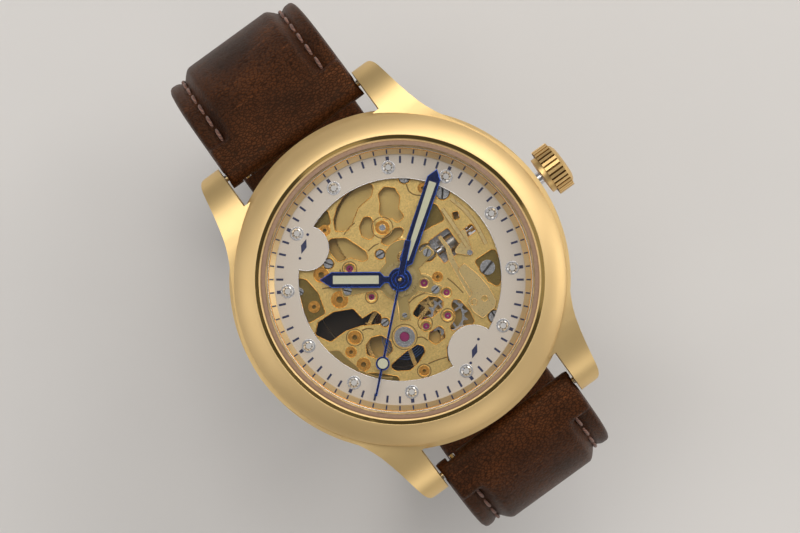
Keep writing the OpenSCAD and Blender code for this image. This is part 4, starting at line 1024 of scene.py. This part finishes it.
def add_stone(shape, centre, radius):
    """Adds a round brilliant: a table, 32 star and girdle facets, then a pointed pavilion."""
    table_z = radius * 0.36
    table = [(radius * 0.56, 22.5 + 45 * i, table_z) for i in range(8)]
    mid = [(radius * 0.8, 45 * i, table_z * 0.52) for i in range(8)]
    girdle = [(radius, 22.5 * i, 0.02 * radius) for i in range(16)]
    lower = [(radius, 22.5 * i, -0.03 * radius) for i in range(16)]
    t = len(shape.verts)
    m, g, lo, tip = t + 8, t + 16, t + 32, t + 48
    for r, a, z in table + mid + girdle + lower + [(0, 0, -radius * 0.5)]:
        angle = radians(a)
        shape.verts.append((centre + Vector((r * cos(angle), r * sin(angle), z))) * MM)
    shape.faces.append(tuple(t + i for i in range(8)))
    for i in range(8):
        j = (i + 1) % 8
        g0, g1, g2 = g + 2 * i, g + 2 * i + 1, g + (2 * i + 2) % 16
        shape.faces += [(t + (i - 1) % 8, m + i, t + i), (m + i, g1, m + j, t + i)]
        shape.faces += [(m + i, g0, g1), (g1, g2, m + j)]
    for i in range(16):
        j = (i + 1) % 16
        shape.faces += [(g + i, lo + i, lo + j, g + j), (lo + i, tip, lo + j)]


def dial_stones():
    """Twelve cut stones, with every other crown facet painted dark as a painted reflection so that they
    sparkle.
    """
    shape = Shape()
    for i in range(12):
        a = radians(90 - 30 * i)
        add_stone(shape, Vector((STONE_AT * cos(a), STONE_AT * sin(a), STONE_Z)), STONE_R)
    obj = shape.piece("brilliant_stones", "stone", "clear_stone")
    obj.data.materials.append(LOOKS["stone_dark_reflection"])
    per_stone = len(shape.faces) // 12
    for i, poly in enumerate(obj.data.polygons):
        facet = i % per_stone
        poly.material_index = facet % 2 if facet <= 32 else 0
    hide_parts("hour_stones")


def hand_lume():
    """Lume on the three hands, and the boss and pin in their middle."""
    hour, minute, second = (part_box(name)[1].z / MM for name in ("hour_hand", "minute_hand", "seconds_hand"))
    flat_piece("hour_lume", [(2.55, -0.5), (8.05, -0.5), (8.05, 0.5), (2.55, 0.5)], hour - 0.01, hour + 0.05,
               HOUR_TURN, "lume", "dial_white", "hour_wheel", 0.03)
    flat_piece("minute_lume", [(2.45, -0.25), (12.35, -0.45), (12.35, 0.45), (2.45, 0.25)], minute - 0.01,
               minute + 0.045, MINUTE_TURN, "lume", "dial_white", "centre_wheel", 0.03)
    flat_piece("seconds_lume", circle_outline(10.26, 0, 0.62), second - 0.01, second + 0.05,
               SECONDS_TURN, "lume", "dial_white", "seconds", 0.03)
    flat_piece("seconds_boss", circle_outline(0, 0, 0.56), second - 0.01, second + 0.22,
               0, "blued", "blued_hand", "seconds", 0.08)
    flat_piece("seconds_pin", circle_outline(0, 0, 0.2, 24), second + 0.2, second + 0.3,
               0, "polished", "gold_polished", "seconds", 0.04)


# ---- fine work on the movement

# Lines on the plate's top face, in millimetres from the hands' axis
ENGRAVED = [
    [(-2.3, 8.3), (-1.4, 8.6), (-0.4, 8.7)], [(-1.1, 5.0), (-0.2, 5.1), (0.5, 5.0)],
    [(2.4, -3.3), (1.3, -3.0), (0.2, -2.8), (-1.0, -3.0), (-1.6, -3.8), (-1.9, -4.7)],
    [(4.7, -3.2), (5.0, -4.4), (5.2, -5.8)], [(-2.4, -6.9), (-1.9, -7.2), (-1.6, -7.9)],
    [(-3.2, -10.2), (-2.0, -10.5), (-0.9, -10.9)],
    [(-8.2, 4.6), (-6.9, 4.0), (-5.7, 4.3), (-5.1, 5.2)],
    [(-7.3, -2.3), (-6.6, -2.5), (-6.1, -3.0)], [(6.9, 6.0), (6.2, 5.0), (5.9, 3.6), (5.0, 2.6)],
    [(7.4, 9.0), (7.1, 7.9), (7.7, 6.9), (8.9, 6.2), (10.3, 6.1)],
]
# Place and radius of each collar
COLLARS = [(-0.62, -6.0, 0.85), (2.1, -6.85, 0.8), (-4.1, -10.6, 0.8), (1.95, 6.3, 1.25), (-4.15, 4.6, 0.85),
           (-4.0, 0.3, 0.75), (-8.5, -2.45, 1.0), (-3.6, -5.9, 1.5)]
FLANGE = [(-11.9, -2.0), (-11.0, -2.6), (-10.8, -3.6), (-10.5, -4.8), (-10.3, -5.7), (-9.7, -7.0),
          (-8.9, -8.0), (-7.6, -9.0)]
FLANGE_OUT = 12.4
GROOVE_HALF, GROOVE_RISE = 0.05, 0.015
HIGHLIGHT_SHIFT, HIGHLIGHT_HALF, HIGHLIGHT_RISE = 0.09, 0.035, 0.03  # the painted highlight that runs beside each groove
COLLAR_W, COLLAR_RISE = 0.07, 0.035
INNER_ARM = [(9.1, 3.9), (9.05, 1.3), (8.9, -1.6)]
OUTER_ARM = [(10.7, 4.3), (11.2, 2.2), (11.3, 0.2), (10.9, -2.6)]


def add_slot_floor(shape, screw, sign):
    """The floor of a screw's slot, if its upper (sign 1) or lower (sign -1) face has one."""
    level = [f for f in screw if f.normal.z * sign > 0.95]
    top = max(f.calc_center_median().z * sign for f in level)
    floor = [f for f in level if 0.05 * MM < top - f.calc_center_median().z * sign < 0.3 * MM]
    points = [v.co.copy() for f in floor for v in f.verts]
    if len(points) < 4:
        return
    outline = [points[i] for i in convex_hull_2d([p.xy for p in points])]
    lift = Vector((0, 0, 0.02 * MM))
    shape.block([p - lift for p in outline], [p + lift for p in outline])


def screw_slots():
    """A dark floor in each screw's slot, where little light reaches."""
    source = welded("movement_screws")
    shape, seen = Shape(), set()
    for first in source.faces:
        if first in seen:
            continue
        screw, waiting = [], [first]
        seen.add(first)
        while waiting:
            face = waiting.pop()
            screw.append(face)
            for other in (f for edge in face.edges for f in edge.link_faces if f not in seen):
                seen.add(other)
                waiting.append(other)
        for sign in (1, -1):
            add_slot_floor(shape, screw, sign)
    source.free()
    shape.piece("screw_slot_floors", "slot", "steel")


def smooth_line(points):
    """A Catmull-Rom curve through the points."""
    steps = 6
    ends = [Vector(p) for p in points]
    ends = [2 * ends[0] - ends[1]] + ends + [2 * ends[-1] - ends[-2]]
    curve = []
    for a, b, c, d in zip(ends, ends[1:], ends[2:], ends[3:]):
        for i in range(steps):
            t = i / steps
            curve.append(0.5 * (2 * b + (c - a) * t + (2 * a - 5 * b + 4 * c - d) * t * t
                                + (3 * b - a - 3 * c + d) * t ** 3))
    return curve + [ends[-2]]


def plate_details():
    """Bridge joints, collars, the sunk flange and the setting spring's long arms, on the plate's face:
    painted shade in the joints, round the collars and on the flange, and painted highlights along their edges
    and the arms' sides.
    """
    top = PLATE_TOP / MM
    sunk = top - 0.02
    grooves, edges, arms, lines = Shape(), Shape(), Shape(), Shape()
    # grooves carry painted shade, and edges carry painted highlights
    for points in ENGRAVED:
        line = smooth_line(points)
        grooves.strip(line, 0, GROOVE_HALF, sunk, top + GROOVE_RISE)
        edges.strip(line, HIGHLIGHT_SHIFT, HIGHLIGHT_HALF, sunk, top + HIGHLIGHT_RISE)
    for x, y, r in COLLARS:
        grooves.collar(x, y, r, r + COLLAR_W, sunk, top + GROOVE_RISE)
        edges.collar(x, y, r - COLLAR_W, r, sunk, top + COLLAR_RISE)
    inner = smooth_line(FLANGE)
    edges.strip(inner, 0, 0.045, sunk, top + 0.04)
    grooves.piece("plate_grooves", "groove", "orange_gold")
    edges.piece("plate_highlights", "gilt_highlight", "gold_plate")
    outer = [p.normalized() * FLANGE_OUT for p in reversed(inner)]
    # the flange is coloured dark as painted shade in the sunk ledge
    flat_piece("plate_flange", inner + outer, sunk, top + 0.01, 0, "flange", "gold_plate")
    for points, half, low, high in ((INNER_ARM, 0.26, 7.0, 7.09), (OUTER_ARM, 0.25, sunk, top + 0.14)):
        line = smooth_line(points)
        arms.strip(line, 0, half, low, high)
        for side in (-0.23, 0.23):
            lines.strip(line, side, 0.04, high - 0.02, high + 0.03)
    arms.piece("setting_arms", "setting", "gold_plate")
    lines.piece("setting_arm_highlights", "gilt_highlight", "gold_plate")


def add_floor():
    corners = [(x * FLOOR_HALF, y * FLOOR_HALF, FLOOR_Z) for x, y in ((-1, -1), (1, -1), (1, 1), (-1, 1))]
    floor = Shape(corners, [(0, 1, 2, 3)]).plain("floor")
    floor.data.materials.append(enamel("floor_pale", (0.78, 0.77, 0.76), (0.75, 0.74, 0.73), 0.7,
                                       grain=0.02, bump=0.0))


add_camera()
add_lights()
dress_frame()
build_strap()
add_highlight_rims()
dial_ticks()
dial_lines()
lobe_marks()
dial_stones()
screw_slots()
plate_details()
hand_lume()
add_floor()
